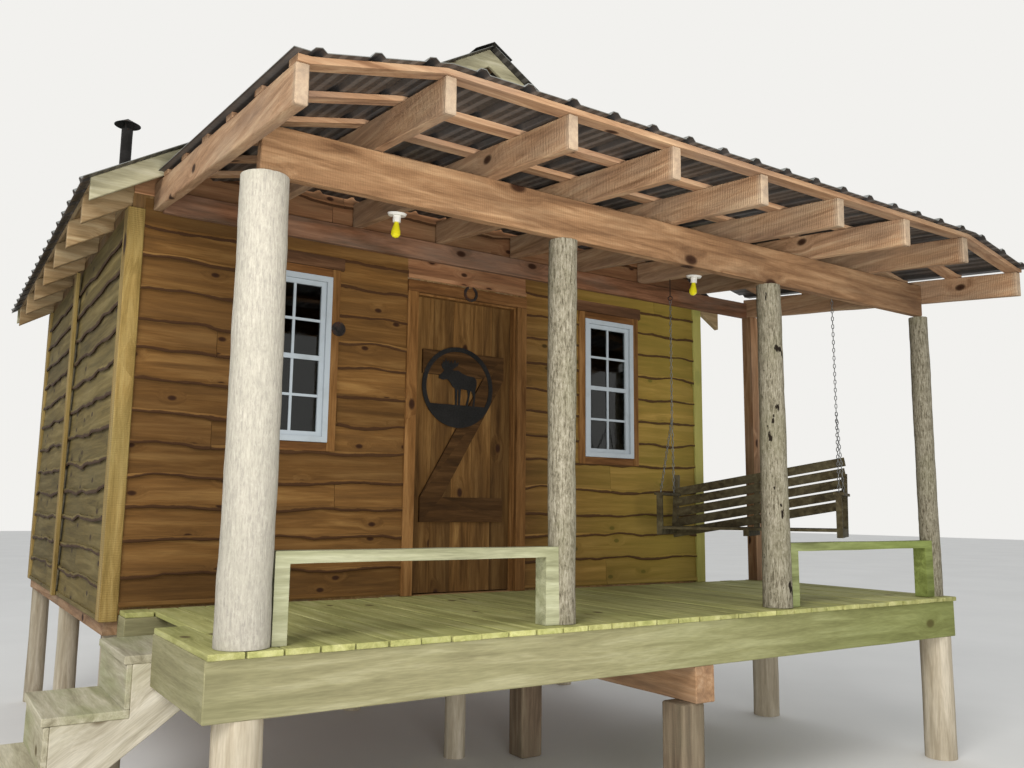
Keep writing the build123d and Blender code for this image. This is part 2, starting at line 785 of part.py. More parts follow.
# Stovepipe with a rain cap, and its flashing cone on the ribs
pipe_surface = metal_underside(cabin_mid - stovepipe_x)
pipe_top = pipe_surface + stovepipe_height
cap_foot = pipe_top + stovepipe_cap_gap
cap_taper = degrees(atan2(stovepipe_cap_radius - stovepipe_wall, stovepipe_cap_rise))
with BuildPart() as stovepipe:
    for lowered, mode in ((0, Mode.ADD), (stovepipe_wall, Mode.SUBTRACT)):
        with BuildSketch(Plane((stovepipe_x, pipe_y, cap_foot - lowered))):
            RegularPolygon(stovepipe_cap_radius, turned_sides, major_radius=False)
        extrude(amount=stovepipe_cap_rise, taper=cap_taper, mode=mode)
    with BuildSketch(Plane.XY.offset(pipe_surface - stovepipe_tail)):
        with Locations((stovepipe_x, pipe_y)):
            RegularPolygon(stovepipe_radius, turned_sides)
            RegularPolygon(stovepipe_radius - stovepipe_wall, turned_sides, mode=Mode.SUBTRACT)
    extrude(amount=stovepipe_height + stovepipe_tail)
    strap_foot = pipe_top - stovepipe_cap_gap
    cap_over_pipe = cap_foot + stovepipe_cap_rise * (1 - stovepipe_radius / stovepipe_cap_radius)
    strap_height = cap_over_pipe - stovepipe_wall / 2 - strap_foot
    with Locations((stovepipe_x, pipe_y, strap_foot)):
        with PolarLocations(stovepipe_radius - stovepipe_wall / 2, 3):
            Box(stovepipe_wall, strap_width, strap_height, align=(Align.CENTER, Align.CENTER, Align.MIN))
finish(stovepipe, "stovepipe")

_, left_slope, left_normal, _ = roof_slopes["left"]
pipe_seat = Vector(stovepipe_x, pipe_y, pipe_surface) + left_normal * (rib_height + metal_thickness)
flashing_narrowing = flashing_radius * cos(slope_angle) - stovepipe_radius - metal_thickness
flashing_taper = degrees(atan2(flashing_narrowing, 2 * flashing_rise))
with BuildPart() as stovepipe_flashing:
    with BuildSketch(Plane(origin=pipe_seat, x_dir=left_slope, z_dir=left_normal)):
        Rectangle(2 * flashing_radius + rib_base_width, 2 * flashing_radius)
    extrude(amount=metal_thickness)
    with BuildSketch(Plane((stovepipe_x, pipe_y, pipe_surface - flashing_rise / 2))):
        RegularPolygon(flashing_radius * cos(slope_angle), turned_sides, major_radius=False)
    extrude(amount=2 * flashing_rise, taper=flashing_taper)
    with BuildSketch(Plane((stovepipe_x, pipe_y, pipe_surface - 3 * flashing_rise))):
        RegularPolygon(stovepipe_radius, turned_sides)
    extrude(amount=6 * flashing_rise, mode=Mode.SUBTRACT)
    with BuildSketch(Plane(origin=pipe_seat, x_dir=left_slope, z_dir=left_normal)):
        Rectangle(6 * flashing_radius, 6 * flashing_radius)
    extrude(amount=-4 * flashing_rise, mode=Mode.SUBTRACT)
finish(stovepipe_flashing, "stovepipe_flashing")

# Porch deck: boards run front to back, with a notch at its left edge for the steps
notch_front = stair_front
deck_boards = round((deck_right - deck_left) / deck_board_width)
deck_board_pitch = (deck_right - deck_left) / deck_boards
deck_outline = (
    (deck_left, deck_front),
    (deck_right, deck_front),
    (deck_right, stud_face),
    (deck_left, stud_face),
    (deck_left, notch_back),
    (notch_edge, notch_back),
    (notch_edge, notch_front),
    (deck_left, notch_front),
)
with BuildPart() as porch_deck:
    with BuildSketch(Plane.XY.offset(deck_underside)):
        with BuildLine():
            Polyline(*deck_outline, close=True)
        make_face()
    extrude(amount=deck_board_thickness)
    with BuildSketch(Plane.XY.offset(deck_top)):
        with Locations(((deck_left + deck_right) / 2, (deck_front + stud_face) / 2)):
            with GridLocations(deck_board_pitch, 1, deck_boards - 1, 1):
                Rectangle(deck_groove_width, stud_face - deck_front)
    extrude(amount=-deck_groove_depth, mode=Mode.SUBTRACT)
finish(porch_deck, "porch_deck")

# Rim boards round the deck frame, joists between them, and a girder under the frame
with BuildPart() as porch_rim:
    with BuildSketch(Plane.XY.offset(rim_bottom)):
        with BuildLine():
            Polyline((deck_left, rim_front), (deck_right, rim_front), *deck_outline[2:], close=True)
        make_face()
        offset(amount=-rim_thickness, kind=Kind.INTERSECTION, mode=Mode.SUBTRACT)
    extrude(amount=rim_depth)
finish(porch_rim, "porch_rim")

joist_left = notch_edge + rim_thickness
joist_right = deck_right - rim_thickness
joist_row_pitch = (stud_face - rim_thickness - rim_back) / (porch_joist_rows + 1)
with BuildPart() as porch_joists:
    for row in range(1, porch_joist_rows + 1):
        joist_y = rim_back + row * joist_row_pitch
        board(
            joist_left,
            joist_right,
            joist_y - rim_thickness / 2,
            joist_y + rim_thickness / 2,
            deck_underside - porch_joist_depth,
            deck_underside,
        )
finish(porch_joists, "porch_joists")

girder_left = girder_place - girder_width / 2
girder_bottom = rim_bottom - girder_depth
with BuildPart() as porch_girder:
    board(girder_left, girder_left + girder_width, rim_front, stud_face, girder_bottom, rim_bottom)
finish(porch_girder, "porch_girder")

# Porch piers: round peeled logs at the ends, squared ones under the girder
back_pier_y = wall_face - back_pier_setback
with BuildPart() as porch_piers:
    with BuildSketch():
        with Locations((0, 0), (last_post, 0), (back_pier_inset, back_pier_y), (last_post, back_pier_y)):
            RegularPolygon(pier_radius, log_sides)
    extrude(amount=rim_bottom)
    with BuildSketch() as squared:
        with Locations((girder_post_place, 0), (girder_post_place, back_pier_y)):
            Rectangle(square_pier_size, square_pier_size)
        chamfer(squared.vertices(), square_pier_size / 10)
    extrude(amount=girder_bottom)
finish(porch_piers, "porch_piers")

# Steps down the left side: cut stringers, closed risers and plank treads
tread_tops = [deck_top - first_step_drop - step * step_rise for step in range(tread_count)]
tread_lefts = [notch_edge - (step + 1) * tread_going for step in range(tread_count)]
with BuildPart() as step_treads:
    for step in range(tread_count):
        right = notch_edge if step == 0 else tread_lefts[step - 1] + riser_thickness
        top = tread_tops[step]
        board(tread_lefts[step] - tread_nosing, right, stair_front, notch_back, top - tread_thickness, top)
finish(step_treads, "step_treads")

with BuildPart() as step_risers:
    for step in range(tread_count):
        left = tread_lefts[step]
        foot = tread_tops[step + 1] if step + 1 < tread_count else 0
        board(left, left + riser_thickness, stair_front, notch_back, foot, tread_tops[step] - tread_thickness)
finish(step_risers, "step_risers")

stair_slope = step_rise / tread_going
stringer_points = [(notch_edge, tread_tops[0] - tread_thickness)]
for step in range(tread_count):
    corner_x = tread_lefts[step] + riser_thickness
    foot = tread_tops[step + 1] - tread_thickness if step + 1 < tread_count else 0
    stringer_points.append((corner_x, tread_tops[step] - tread_thickness))
    stringer_points.append((corner_x, foot))
throat_x, throat_z = stringer_points[2]
underside_foot = throat_x - (throat_z - stringer_throat) / stair_slope
stringer_points.append((underside_foot, 0))
stringer_points.append((notch_edge, throat_z - stringer_throat + stair_slope * (notch_edge - throat_x)))
with BuildPart() as step_stringers:
    for face in (stair_front, notch_back - stringer_thickness):
        with BuildSketch(Plane.XZ.offset(-face - stringer_thickness)):
            with BuildLine():
                Polyline(*stringer_points, close=True)
            make_face()
        extrude(amount=stringer_thickness)
finish(step_stringers, "step_stringers")

# Porch posts: tapering logs with the bark on, each of its own thickness
beam_bottom = deck_top + beam_height
beam_top = beam_bottom + beam_depth
beam_front = -beam_front_reach
with BuildPart() as porch_posts:
    for post, (foot_radius, head_radius) in enumerate(post_radii):
        bow = post_bow * (-1) ** post
        middle_radius = (foot_radius + head_radius) / 2
        with BuildSketch(Plane.XY.offset(deck_top)):
            with Locations((post * post_pitch, 0)):
                RegularPolygon(foot_radius, log_sides)
        with BuildSketch(Plane.XY.offset((deck_top + beam_bottom) / 2)):
            with Locations((post * post_pitch + bow, bow / 2)):
                RegularPolygon(middle_radius, log_sides)
        with BuildSketch(Plane.XY.offset(beam_bottom)):
            with Locations((post * post_pitch, 0)):
                RegularPolygon(head_radius, log_sides)
        loft(ruled=True)
finish(porch_posts, "porch_posts")

# One deep beam over the posts
with BuildPart() as porch_beam:
    board(
        -beam_end_reach,
        last_post - beam_end_setback,
        beam_front,
        beam_front + beam_thickness,
        beam_bottom,
        beam_top,
    )
finish(porch_beam, "porch_beam")


def porch_underside(y):
    """Height of the inner porch rafters' undersides at y."""
    return beam_top + porch_roof_slope * (y - beam_front)


rafter_spacing = (last_post - last_rafter_setback + first_rafter_reach) / (rafter_count - 1)
rafter_lefts = [-first_rafter_reach + row * rafter_spacing for row in range(rafter_count)]


def porch_rafter_outline(drop):
    """Corners of a porch rafter, plumb-cut at both ends, lowered by a drop."""
    tip = -rafter_overhang
    return (
        (tip, porch_underside(tip) - drop),
        (wall_face, porch_underside(wall_face) - drop),
        (wall_face, porch_underside(wall_face) - drop + rafter_depth),
        (tip, porch_underside(tip) - drop + rafter_depth),
    )


# The outermost two hang outside the beam on the purlins, which sag to them in the end bays
with BuildPart() as porch_rafters:
    for row, left in enumerate(rafter_lefts):
        drop = end_bay_droop if row in (0, rafter_count - 1) else 0
        with BuildSketch(Plane.YZ.offset(left)):
            with BuildLine():
                Polyline(*porch_rafter_outline(drop), close=True)
            make_face()
        extrude(amount=rafter_thickness)
finish(porch_rafters, "porch_rafters")


def roof_line(x):
    """Drop of the porch roof below its level middle at x, sagging over the two end bays."""
    left_ramp = (rafter_lefts[1] - x) / (rafter_lefts[1] - rafter_lefts[0] - rafter_thickness)
    right_start = rafter_lefts[-2] + rafter_thickness
    right_ramp = (x - right_start) / (rafter_lefts[-1] - right_start)
    return -end_bay_droop * min(1, max(0, left_ramp, right_ramp))


roof_bends = (
    rafter_lefts[0] + rafter_thickness,
    rafter_lefts[1],
    rafter_lefts[-2] + rafter_thickness,
    rafter_lefts[-1],
)


def bent_points(reach, thickness):
    """Section across the roof of a board that follows its sagging line."""
    ends = (rafter_lefts[0] - reach, rafter_lefts[-1] + rafter_thickness + reach)
    lower = [(x, roof_line(x)) for x in (ends[0], *roof_bends, ends[1])]
    return lower + [(x, level + thickness) for x, level in lower[::-1]]


def up_roof(y, lift):
    """Plane across the porch roof at y, its level middle line lifted above the rafters' tops."""
    return Plane(origin=(0, y, porch_underside(y) + rafter_depth + lift), x_dir=(1, 0, 0), z_dir=(0, -1, 0))


roof_direction = Vector(0, 1, porch_roof_slope)
roof_stretch = hypot(1, porch_roof_slope)
porch_metal_front = -rafter_overhang - porch_metal_reach
left_metal_back = rake_front - roof_gap
first_purlin = -rafter_overhang - purlin_tip_reach
last_purlin = left_metal_back - purlin_width
with BuildPart() as porch_purlins:
    for row in range(purlin_rows):
        purlin_y = first_purlin + row * (last_purlin - first_purlin) / (purlin_rows - 1)
        with BuildSketch(up_roof(purlin_y, 0)):
            with BuildLine():
                Polyline(*bent_points(purlin_side_reach, purlin_thickness), close=True)
            make_face()
        extrude(amount=purlin_width * roof_stretch, dir=roof_direction)
finish(porch_purlins, "porch_purlins")

# Porch roofing: ribbed sheet bent with the purlins, stopped short of the left rake board
porch_metal_left = rafter_lefts[0] - porch_metal_side_reach
porch_metal_right = rafter_lefts[-1] + rafter_thickness + porch_metal_side_reach
with BuildPart() as porch_roof:
    with BuildSketch(up_roof(porch_metal_front, purlin_thickness)):
        with BuildLine():
            Polyline(*ribbed_points(porch_metal_left, porch_metal_right, roof_line, roof_bends), close=True)
        make_face()
    extrude(amount=(wall_face - porch_metal_front) * roof_stretch, dir=roof_direction)
    board(
        2 * porch_metal_left,
        porch_metal_notch,
        left_metal_back,
        stud_face,
        beam_top,
        plate_top + rafter_rise,
        mode=Mode.SUBTRACT,
    )
finish(porch_roof, "porch_roof")

# Ledger on the front wall under the rafters, run on to the rear post beyond the corner
ledger_front = wall_face - ledger_thickness
rear_post_x = rafter_lefts[-1] + rafter_thickness / 2
rear_post_front = wall_face - rear_post_width
rear_post_top = porch_underside(rear_post_front) - end_bay_droop
with BuildPart() as porch_ledger:
    board(
        rafter_lefts[0] + rafter_thickness,
        rafter_lefts[-1],
        ledger_front,
        wall_face,
        rear_post_top,
        porch_underside(ledger_front),
    )
finish(porch_ledger, "porch_ledger")

with BuildPart() as porch_rear_post:
    rear_left = rear_post_x - rear_post_width / 2
    board(rear_left, rear_left + rear_post_width, rear_post_front, wall_face, deck_top, rear_post_top)
finish(porch_rear_post, "porch_rear_post")

# Low rails in the end bays: a flat rail on two short supports, coped to the logs at its ends
rail_y = (-rail_width / 2, rail_width / 2)
with BuildPart() as porch_rails:
    for left_post in (0, post_count - 2):
        rail_start = left_post * post_pitch + rail_cope * post_radii[left_post][0]
        rail_end = (left_post + 1) * post_pitch - rail_cope * post_radii[left_post + 1][0]
        rail_top = deck_top + rail_height
        rail_under = rail_top - rail_thickness
        board(rail_start, rail_end, *rail_y, rail_under, rail_top)
        for support_x in (rail_start, rail_end - rail_support_width):
            board(support_x, support_x + rail_support_width, *rail_y, deck_top, rail_under)
    add(porch_posts.part, mode=Mode.SUBTRACT)
finish(porch_rails, "porch_rails")

# Lampholders under two of the rafters, each with a bulb
down_normal = Vector(0, porch_roof_slope, -1).normalized()
lamp_seats = [
    Plane(
        origin=(left + rafter_thickness / 2, lamp_row, porch_underside(lamp_row)),
        x_dir=(1, 0, 0),
        z_dir=down_normal,
    )
    for left in (rafter_lefts[2], rafter_lefts[-3])
]
with BuildPart() as lamp_holders:
    for seat in lamp_seats:
        with BuildSketch(seat):
            RegularPolygon(lamp_base_radius, turned_sides)
        with BuildSketch(seat.offset(lamp_base_thickness)):
            RegularPolygon(lamp_base_radius - lamp_base_thickness / 2, turned_sides)
        loft(ruled=True)
        with BuildSketch(seat.offset(lamp_base_thickness)):
            RegularPolygon(lamp_neck_radius, turned_sides)
        extrude(amount=lamp_drop - lamp_base_thickness)
finish(lamp_holders, "lamp_holders")

bulb_middle = -lamp_drop - bulb_length + bulb_radius
bulb_profile = [(0, -lamp_drop), (bulb_neck_radius, -lamp_drop)]
for turn in (-25, 15, 55):
    bulb_profile.append((bulb_radius * cos(radians(turn)), bulb_middle - bulb_radius * sin(radians(turn))))
bulb_profile.append((0, bulb_middle - bulb_radius))
with BuildPart() as lamp_bulbs:
    for seat in lamp_seats:
        with BuildSketch(Plane(origin=seat.origin, x_dir=(1, 0, 0), z_dir=seat.y_dir)):
            with BuildLine():
                Polyline(*bulb_profile, close=True)
            make_face()
        revolve(axis=Axis(seat.origin, seat.z_dir))
finish(lamp_bulbs, "lamp_bulbs")

# Cut plate on the door: a ring with a strip of ground and a moose standing on it
plaque_back = planks_front - ledge_thickness
plaque_middle = (cabin_mid + plaque_shift, door_head - plaque_drop)
ground_level = -plaque_radius * sin(radians(plaque_ground_angle))
moose_outline = (
    (-153, 52), (-149, 74), (-126, 92), (-112, 112), (-130, 128), (-136, 156), (-126, 150), (-122, 180),
    (-112, 164), (-100, 198), (-92, 168), (-78, 186), (-70, 156), (-58, 184), (-46, 160), (-28, 190),
    (-20, 164), (0, 178), (-4, 152), (-30, 132), (-50, 118), (-36, 115), (0, 118), (30, 100), (74, 86),
    (130, 82), (145, 62), (148, 26), (138, -8), (138, -56), (132, -126), (118, -126), (124, -56),
    (110, -22), (98, -16), (92, -58), (78, -126), (62, -126), (80, -56), (72, -12), (22, -10),
    (16, -126), (4, -126), (2, -16), (-6, -16), (-8, -126), (-20, -126), (-24, -10), (-46, 4),
    (-64, 32), (-86, 50), (-120, 44),
)
with BuildSketch() as plaque_figure:
    RegularPolygon(plaque_radius, plaque_sides)
    with Locations((0, ground_level)):
        Rectangle(2 * plaque_radius, 2 * plaque_radius, align=(Align.CENTER, Align.MIN), mode=Mode.SUBTRACT)
    with BuildLine():
        Polyline(*moose_outline, close=True)
    make_face()
with BuildPart() as door_plaque:
    with BuildSketch(Plane.XZ.offset(-plaque_back)):
        with Locations(plaque_middle):
            RegularPolygon(plaque_radius, plaque_sides)
            RegularPolygon(plaque_radius - plaque_ring_width, plaque_sides, mode=Mode.SUBTRACT)
            add(plaque_figure.sketch)
    extrude(amount=plaque_thickness)
finish(door_plaque, "door_plaque")

# Horseshoe on the casing over the door, open end up
with BuildPart() as horseshoe:
    with BuildSketch(Plane.XZ.offset(-stud_face + casing_thickness)):
        with Locations((cabin_mid, door_head + casing_width / 2)):
            RegularPolygon(horseshoe_radius, turned_sides)
            RegularPolygon(horseshoe_radius - horseshoe_bar, turned_sides, mode=Mode.SUBTRACT)
            with Locations((0, horseshoe_radius)):
                Rectangle(horseshoe_bar * 2, 1.6 * horseshoe_radius, mode=Mode.SUBTRACT)
    extrude(amount=horseshoe_thickness)
finish(horseshoe, "horseshoe")

# Porch swing, hung from two neighbouring rafters on a level axis through its eyes, its bench set
# forward of the hooks so that it hangs level
hook_left = Vector(rafter_lefts[-3] + rafter_thickness / 2, swing_left_reach, 0)
hook_right = Vector(rafter_lefts[-2] + rafter_thickness / 2, swing_right_reach, 0)
axis_level = beam_top - swing_axis_drop
swing_middle = (hook_left + hook_right) * 0.5
swing_along = (hook_right - hook_left).normalized()
swing_across = up.cross(swing_along)
bench_middle = swing_middle - swing_across * swing_balance
seat_top = deck_top + swing_seat_height
seat_under = seat_top - swing_slat_thickness


def bench_point(along, across, level):
    """Place of a point given along and across the bench, from its middle, at a level."""
    return bench_middle + swing_along * along + swing_across * across + up * level


def rod(start, end, radius):
    """Add a rod between two points to the part being built."""
    with BuildSketch(Plane(origin=start, z_dir=end - start)) as rod_section:
        RegularPolygon(radius, wire_sides, rotation=180 / wire_sides)
    extrude(rod_section.sketch, amount=(end - start).length)


def wire_ring(centre, across, radius, wire):
    """Add an upright ring of wire, a bend of it straight under its centre, to the part being built."""
    with BuildLine(Plane(origin=centre, x_dir=up, z_dir=across.cross(up))) as path:
        turns = [radians(360 * corner / ring_sides) for corner in range(ring_sides)]
        Polyline(*[(radius * cos(turn), radius * sin(turn)) for turn in turns], close=True)
    start = path.edges()[0]
    with BuildSketch(Plane(origin=start @ 0.5, z_dir=start % 0.5)) as section:
        RegularPolygon(wire, wire_sides, rotation=180 / wire_sides)
    sweep(section.sketch, path=path.wires()[0], transition=Transition.RIGHT)


with BuildPart() as swing_hooks:
    for hook in (hook_left, hook_right):
        eye_centre = hook + up * (axis_level + eye_radius)
        wire_ring(eye_centre, swing_along, eye_radius, eye_wire)
        rod(eye_centre + up * eye_radius, hook + up * porch_underside(hook.Y - eye_wire), eye_wire)
finish(swing_hooks, "swing_hooks")

# Bench of the swing: a slatted seat and back on bearers, with an arm at each end
bearer_places = (-swing_length / 2 + swing_frame_size / 2, 0, swing_length / 2 - swing_frame_size / 2)
back_foot = swing_seat_depth / 2 - swing_frame_size
with BuildPart() as swing_bench:
    with BuildSketch(Plane(origin=bench_point(0, 0, seat_under), x_dir=swing_along, z_dir=up)):
        with GridLocations(1, (swing_seat_depth - swing_slat_width) / 5, 1, 6):
            Rectangle(swing_length, swing_slat_width)
    extrude(amount=swing_slat_thickness)
    for place in bearer_places:
        bearer_plane = Plane(origin=bench_point(place, 0, 0), x_dir=swing_across, z_dir=swing_along)
        with BuildSketch(bearer_plane.offset(-swing_frame_size / 2)):
            with Locations((0, seat_under - swing_frame_size / 2)):
                Rectangle(swing_seat_depth, swing_frame_size)
        extrude(amount=swing_frame_size)
        with BuildSketch(bearer_plane.offset(-swing_frame_size / 2)):
            with BuildLine():
                Polyline(
                    (back_foot, seat_under),
                    (back_foot + swing_frame_size, seat_under),
                    (back_foot + swing_frame_size + swing_back_lean, seat_top + swing_back_height),
                    (back_foot + swing_back_lean, seat_top + swing_back_height),
                    close=True,
                )
            make_face()
        extrude(amount=swing_frame_size)
    back_slats = 5
    lean_angle = degrees(atan2(swing_back_lean, swing_back_height))
    for slat in range(back_slats):
        share = (slat + 0.7) / back_slats
        slat_level = seat_top + swing_back_height * share
        slat_centre = bench_point(0, back_foot + swing_back_lean * share, slat_level)
        slat_plane = Plane(origin=slat_centre, x_dir=swing_along, z_dir=up).rotated((-lean_angle, 0, 0))
        with Locations(slat_plane):
            Box(swing_length, swing_slat_thickness, swing_slat_width)
    for place in (bearer_places[0], bearer_places[-1]):
        arm_plane = Plane(origin=bench_point(place, 0, 0), x_dir=swing_across, z_dir=swing_along)
        with BuildSketch(arm_plane.offset(-swing_arm_width / 2)):
            with Locations((swing_frame_size / 2, seat_top + swing_arm_height)):
                Rectangle(swing_seat_depth + swing_frame_size, swing_slat_thickness)
        extrude(amount=swing_arm_width)
        with BuildSketch(arm_plane.offset(-swing_frame_size / 2)):
            with Locations((-swing_seat_depth / 2 + swing_frame_size / 2, seat_top + swing_arm_height / 2)):
                Rectangle(swing_frame_size, swing_arm_height)
        extrude(amount=swing_frame_size)
finish(swing_bench, "swing_bench")

# Chains: a link on each hook, one run down to the split and two runs on to the arm
arm_top = seat_top + swing_arm_height + swing_slat_thickness / 2
link_drop = link_radius - link_wire - eye_wire - link_play
split_level = deck_top + swing_split_height
arm_place = (swing_length - swing_frame_size) / 2
arm_eye_rise = 4 * chain_radius
with BuildPart() as swing_chains:
    for end, hook in ((-1, hook_left), (1, hook_right)):
        link_centre = hook + up * (axis_level - link_drop)
        wire_ring(link_centre, swing_across, link_radius, link_wire)
        split = hook + up * split_level
        rod(link_centre - up * (link_radius + link_wire / 2), split, chain_radius)
        with Locations(split):
            Box(4 * chain_radius, 4 * chain_radius, 4 * chain_radius)
        for across in (chain_front_place, chain_back_place):
            arm_eye = bench_point(end * arm_place, across, arm_top + arm_eye_rise)
            rod(split, arm_eye, chain_radius)
            rod(arm_eye - up * arm_eye_rise, arm_eye + up * chain_radius, chain_radius)
finish(swing_chains, "swing_chains")
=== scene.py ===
"""Looks of a small gable-roofed cabin with a shed-roofed porch on log posts.

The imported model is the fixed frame. Boards, logs, chains and screws are modelled here round it, every
shown piece gets a procedural finish, and a plain studio and the camera stand at the end.
"""

from __future__ import annotations

import json
import logging
import math
import random
from collections.abc import Callable, Iterator, Sequence
from contextlib import contextmanager
from dataclasses import dataclass, replace
from enum import Enum

import bpy
from mathutils import Matrix, Vector

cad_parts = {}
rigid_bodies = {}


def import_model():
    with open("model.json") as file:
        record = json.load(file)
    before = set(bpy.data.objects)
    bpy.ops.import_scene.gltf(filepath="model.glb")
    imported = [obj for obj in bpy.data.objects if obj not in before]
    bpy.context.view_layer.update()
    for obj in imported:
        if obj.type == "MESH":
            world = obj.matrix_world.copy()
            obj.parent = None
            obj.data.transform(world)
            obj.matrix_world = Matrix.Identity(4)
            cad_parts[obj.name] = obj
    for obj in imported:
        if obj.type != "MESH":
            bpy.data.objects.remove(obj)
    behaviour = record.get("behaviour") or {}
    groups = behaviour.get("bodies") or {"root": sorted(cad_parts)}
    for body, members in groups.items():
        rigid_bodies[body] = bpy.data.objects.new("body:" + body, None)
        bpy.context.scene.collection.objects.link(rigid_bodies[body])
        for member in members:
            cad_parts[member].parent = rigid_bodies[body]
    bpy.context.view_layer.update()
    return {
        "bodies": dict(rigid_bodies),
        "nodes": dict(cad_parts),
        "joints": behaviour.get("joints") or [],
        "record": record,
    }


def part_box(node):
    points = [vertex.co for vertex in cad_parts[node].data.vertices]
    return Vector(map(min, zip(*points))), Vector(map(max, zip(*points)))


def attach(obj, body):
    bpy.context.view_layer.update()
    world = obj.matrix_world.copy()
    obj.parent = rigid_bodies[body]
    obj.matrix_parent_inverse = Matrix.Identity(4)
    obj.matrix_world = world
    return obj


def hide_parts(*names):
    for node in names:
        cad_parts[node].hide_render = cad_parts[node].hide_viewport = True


log = logging.getLogger("cabin")

Object = bpy.types.Object
Socket = bpy.types.NodeSocket

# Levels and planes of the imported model, in metres
DECK_TOP = 1.060
DECK_UNDERSIDE = 1.032
CABIN_PIER_TOP = 0.928
PORCH_PIER_TOP = 0.797
POST_TOP = 3.010
STUD_FACE = 1.626
STUD_BACK = 5.094
STUD_LEFT = -0.240
STUD_RIGHT = 4.198
CABIN_MID = 1.979
PLATE_TOP = 3.360
EAVE_TOP = 3.2904
SIDING_BOTTOM = 1.000
DOOR_HEAD = 3.060
WINDOW_OFFSET = 1.251

# The main roof: its rise over its run, half the rafters' span, and their top over that line
ROOF_PITCH = 0.6
HALF_SPAN = 2.129
RAFTER_RISE = 0.1633

# Half a millimetre, by which planes are kept apart and points told apart
HAIR = 0.0005


class Body(Enum):
    """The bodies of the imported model."""

    CABIN = "cabin"
    DOOR = "door"
    SWING = "swing"


class Axis(Enum):
    """A direction in the shared frame."""

    X = 0
    Y = 1
    Z = 2

    def unit(self) -> Vector:
        """Unit vector along the axis."""
        return Vector([1.0 if index == self.value else 0.0 for index in range(3)])


class Grain(Enum):
    """Which way the wood's grain runs on a piece."""

    ALONG_X = (0.0, 0.0, 0.0)
    ALONG_Y = (0.0, 0.0, -math.pi / 2)
    ALONG_Z = (0.0, math.pi / 2, 0.0)
    ALONG_STEPS = (0.0, 0.634, 0.0)


# Working at the bench


def linear(code: str) -> tuple[float, float, float, float]:
    """Turn a hex colour into the linear one that a shader's socket takes.

    Args:
        code: Six hex digits.

    Returns:
        Red, green, blue and alpha.
    """
    channels = [int(code[start : start + 2], 16) / 255 for start in (0, 2, 4)]
    straight = [c / 12.92 if c <= 0.04045 else ((c + 0.055) / 1.055) ** 2.4 for c in channels]
    return (*straight, 1.0)


def select_only(piece: Object) -> None:
    """Make one piece the only selected and the active one.

    Args:
        piece: The piece to work on.
    """
    bpy.ops.object.select_all(action="DESELECT")
    piece.select_set(True)
    bpy.context.view_layer.objects.active = piece


@contextmanager
def editing(piece: Object, faces: bool = False) -> Iterator[None]:
    """Hold a piece in edit mode for the length of a block.

    Args:
        piece: The piece to work on.
        faces: Whether its faces are selected, in place of its vertices.

    Returns:
        Nothing, once the piece is in edit mode.
    """
    select_only(piece)
    bpy.context.tool_settings.mesh_select_mode = (not faces, False, faces)
    bpy.ops.object.mode_set(mode="EDIT")
    yield
    bpy.ops.object.mode_set(mode="OBJECT")
    bpy.context.tool_settings.mesh_select_mode = (True, False, False)


def pick(piece: Object, test: Callable[[Vector], bool]) -> None:
    """Select a piece's vertices by their place, in object mode.

    Args:
        piece: The piece to work on.
        test: Says whether a vertex at a place is wanted.
    """
    for group in (piece.data.polygons, piece.data.edges):
        group.foreach_set("select", [False] * len(group))
    for vertex in piece.data.vertices:
        vertex.select = test(vertex.co)


def pick_faces(piece: Object, test: Callable[[Vector, Vector], bool]) -> None:
    """Select a piece's faces by their centre and normal, in object mode.

    Args:
        piece: The piece to work on.
        test: Says whether a face with a centre and a normal is wanted.
    """
    for group in (piece.data.vertices, piece.data.edges):
        group.foreach_set("select", [False] * len(group))
    for face in piece.data.polygons:
        face.select = test(face.center, face.normal)


def block(name: str, low: Sequence[float], high: Sequence[float]) -> Object:
    """Add a squared block between two corners.

    Args:
        name: The piece's name.
        low: Its lowest corner.
        high: Its highest corner.

    Returns:
        The new piece, at the origin with its place in its mesh.
    """
    bpy.ops.object.select_all(action="DESELECT")
    lowest, highest = Vector(low), Vector(high)
    bpy.ops.mesh.primitive_cube_add(size=1.0, location=(lowest + highest) / 2, scale=highest - lowest)
    piece = bpy.context.object
    piece.name = piece.data.name = name
    bpy.ops.object.transform_apply(location=True, rotation=True, scale=True)
    return piece


def apply_modifier(piece: Object, kind: str, **settings: object) -> None:
    """Add a modifier to a piece, set it and apply it.

    Args:
        piece: The piece to work on.
        kind: Blender's name for the modifier.
        **settings: The modifier's values.
    """
    select_only(piece)
    modifier = piece.modifiers.new(kind.title(), kind)
    for name, value in settings.items():
        setattr(modifier, name, value)
    bpy.ops.object.modifier_apply(modifier=modifier.name)


def clouds(size: float) -> bpy.types.Texture:
    """Give the cloud noise of a size that displacements use.

    Args:
        size: Size of its clouds in metres.

    Returns:
        The texture, made once for each size.
    """
    name = f"clouds_{round(size * 1000)}"
    texture = bpy.data.textures.get(name)
    if texture is None:
        texture = bpy.data.textures.new(name, type="CLOUDS")
        texture.noise_scale = size
        texture.noise_depth = 2
    return texture


def roughen(piece: Object, size: float, amount: float, direction: str = "NORMAL", group: str = "") -> None:
    """Push a piece's surface in and out by cloud noise.

    Args:
        piece: The piece to work on.
        size: Size of the clouds in metres.
        amount: Strength of the push in metres.
        direction: NORMAL, X, Y or Z.
        group: Vertex group that it is held to, or all of the piece.
    """
    apply_modifier(
        piece,
        "DISPLACE",
        texture=clouds(size),
        texture_coords="LOCAL",
        strength=amount,
        mid_level=0.5,
        direction=direction,
        vertex_group=group,
    )


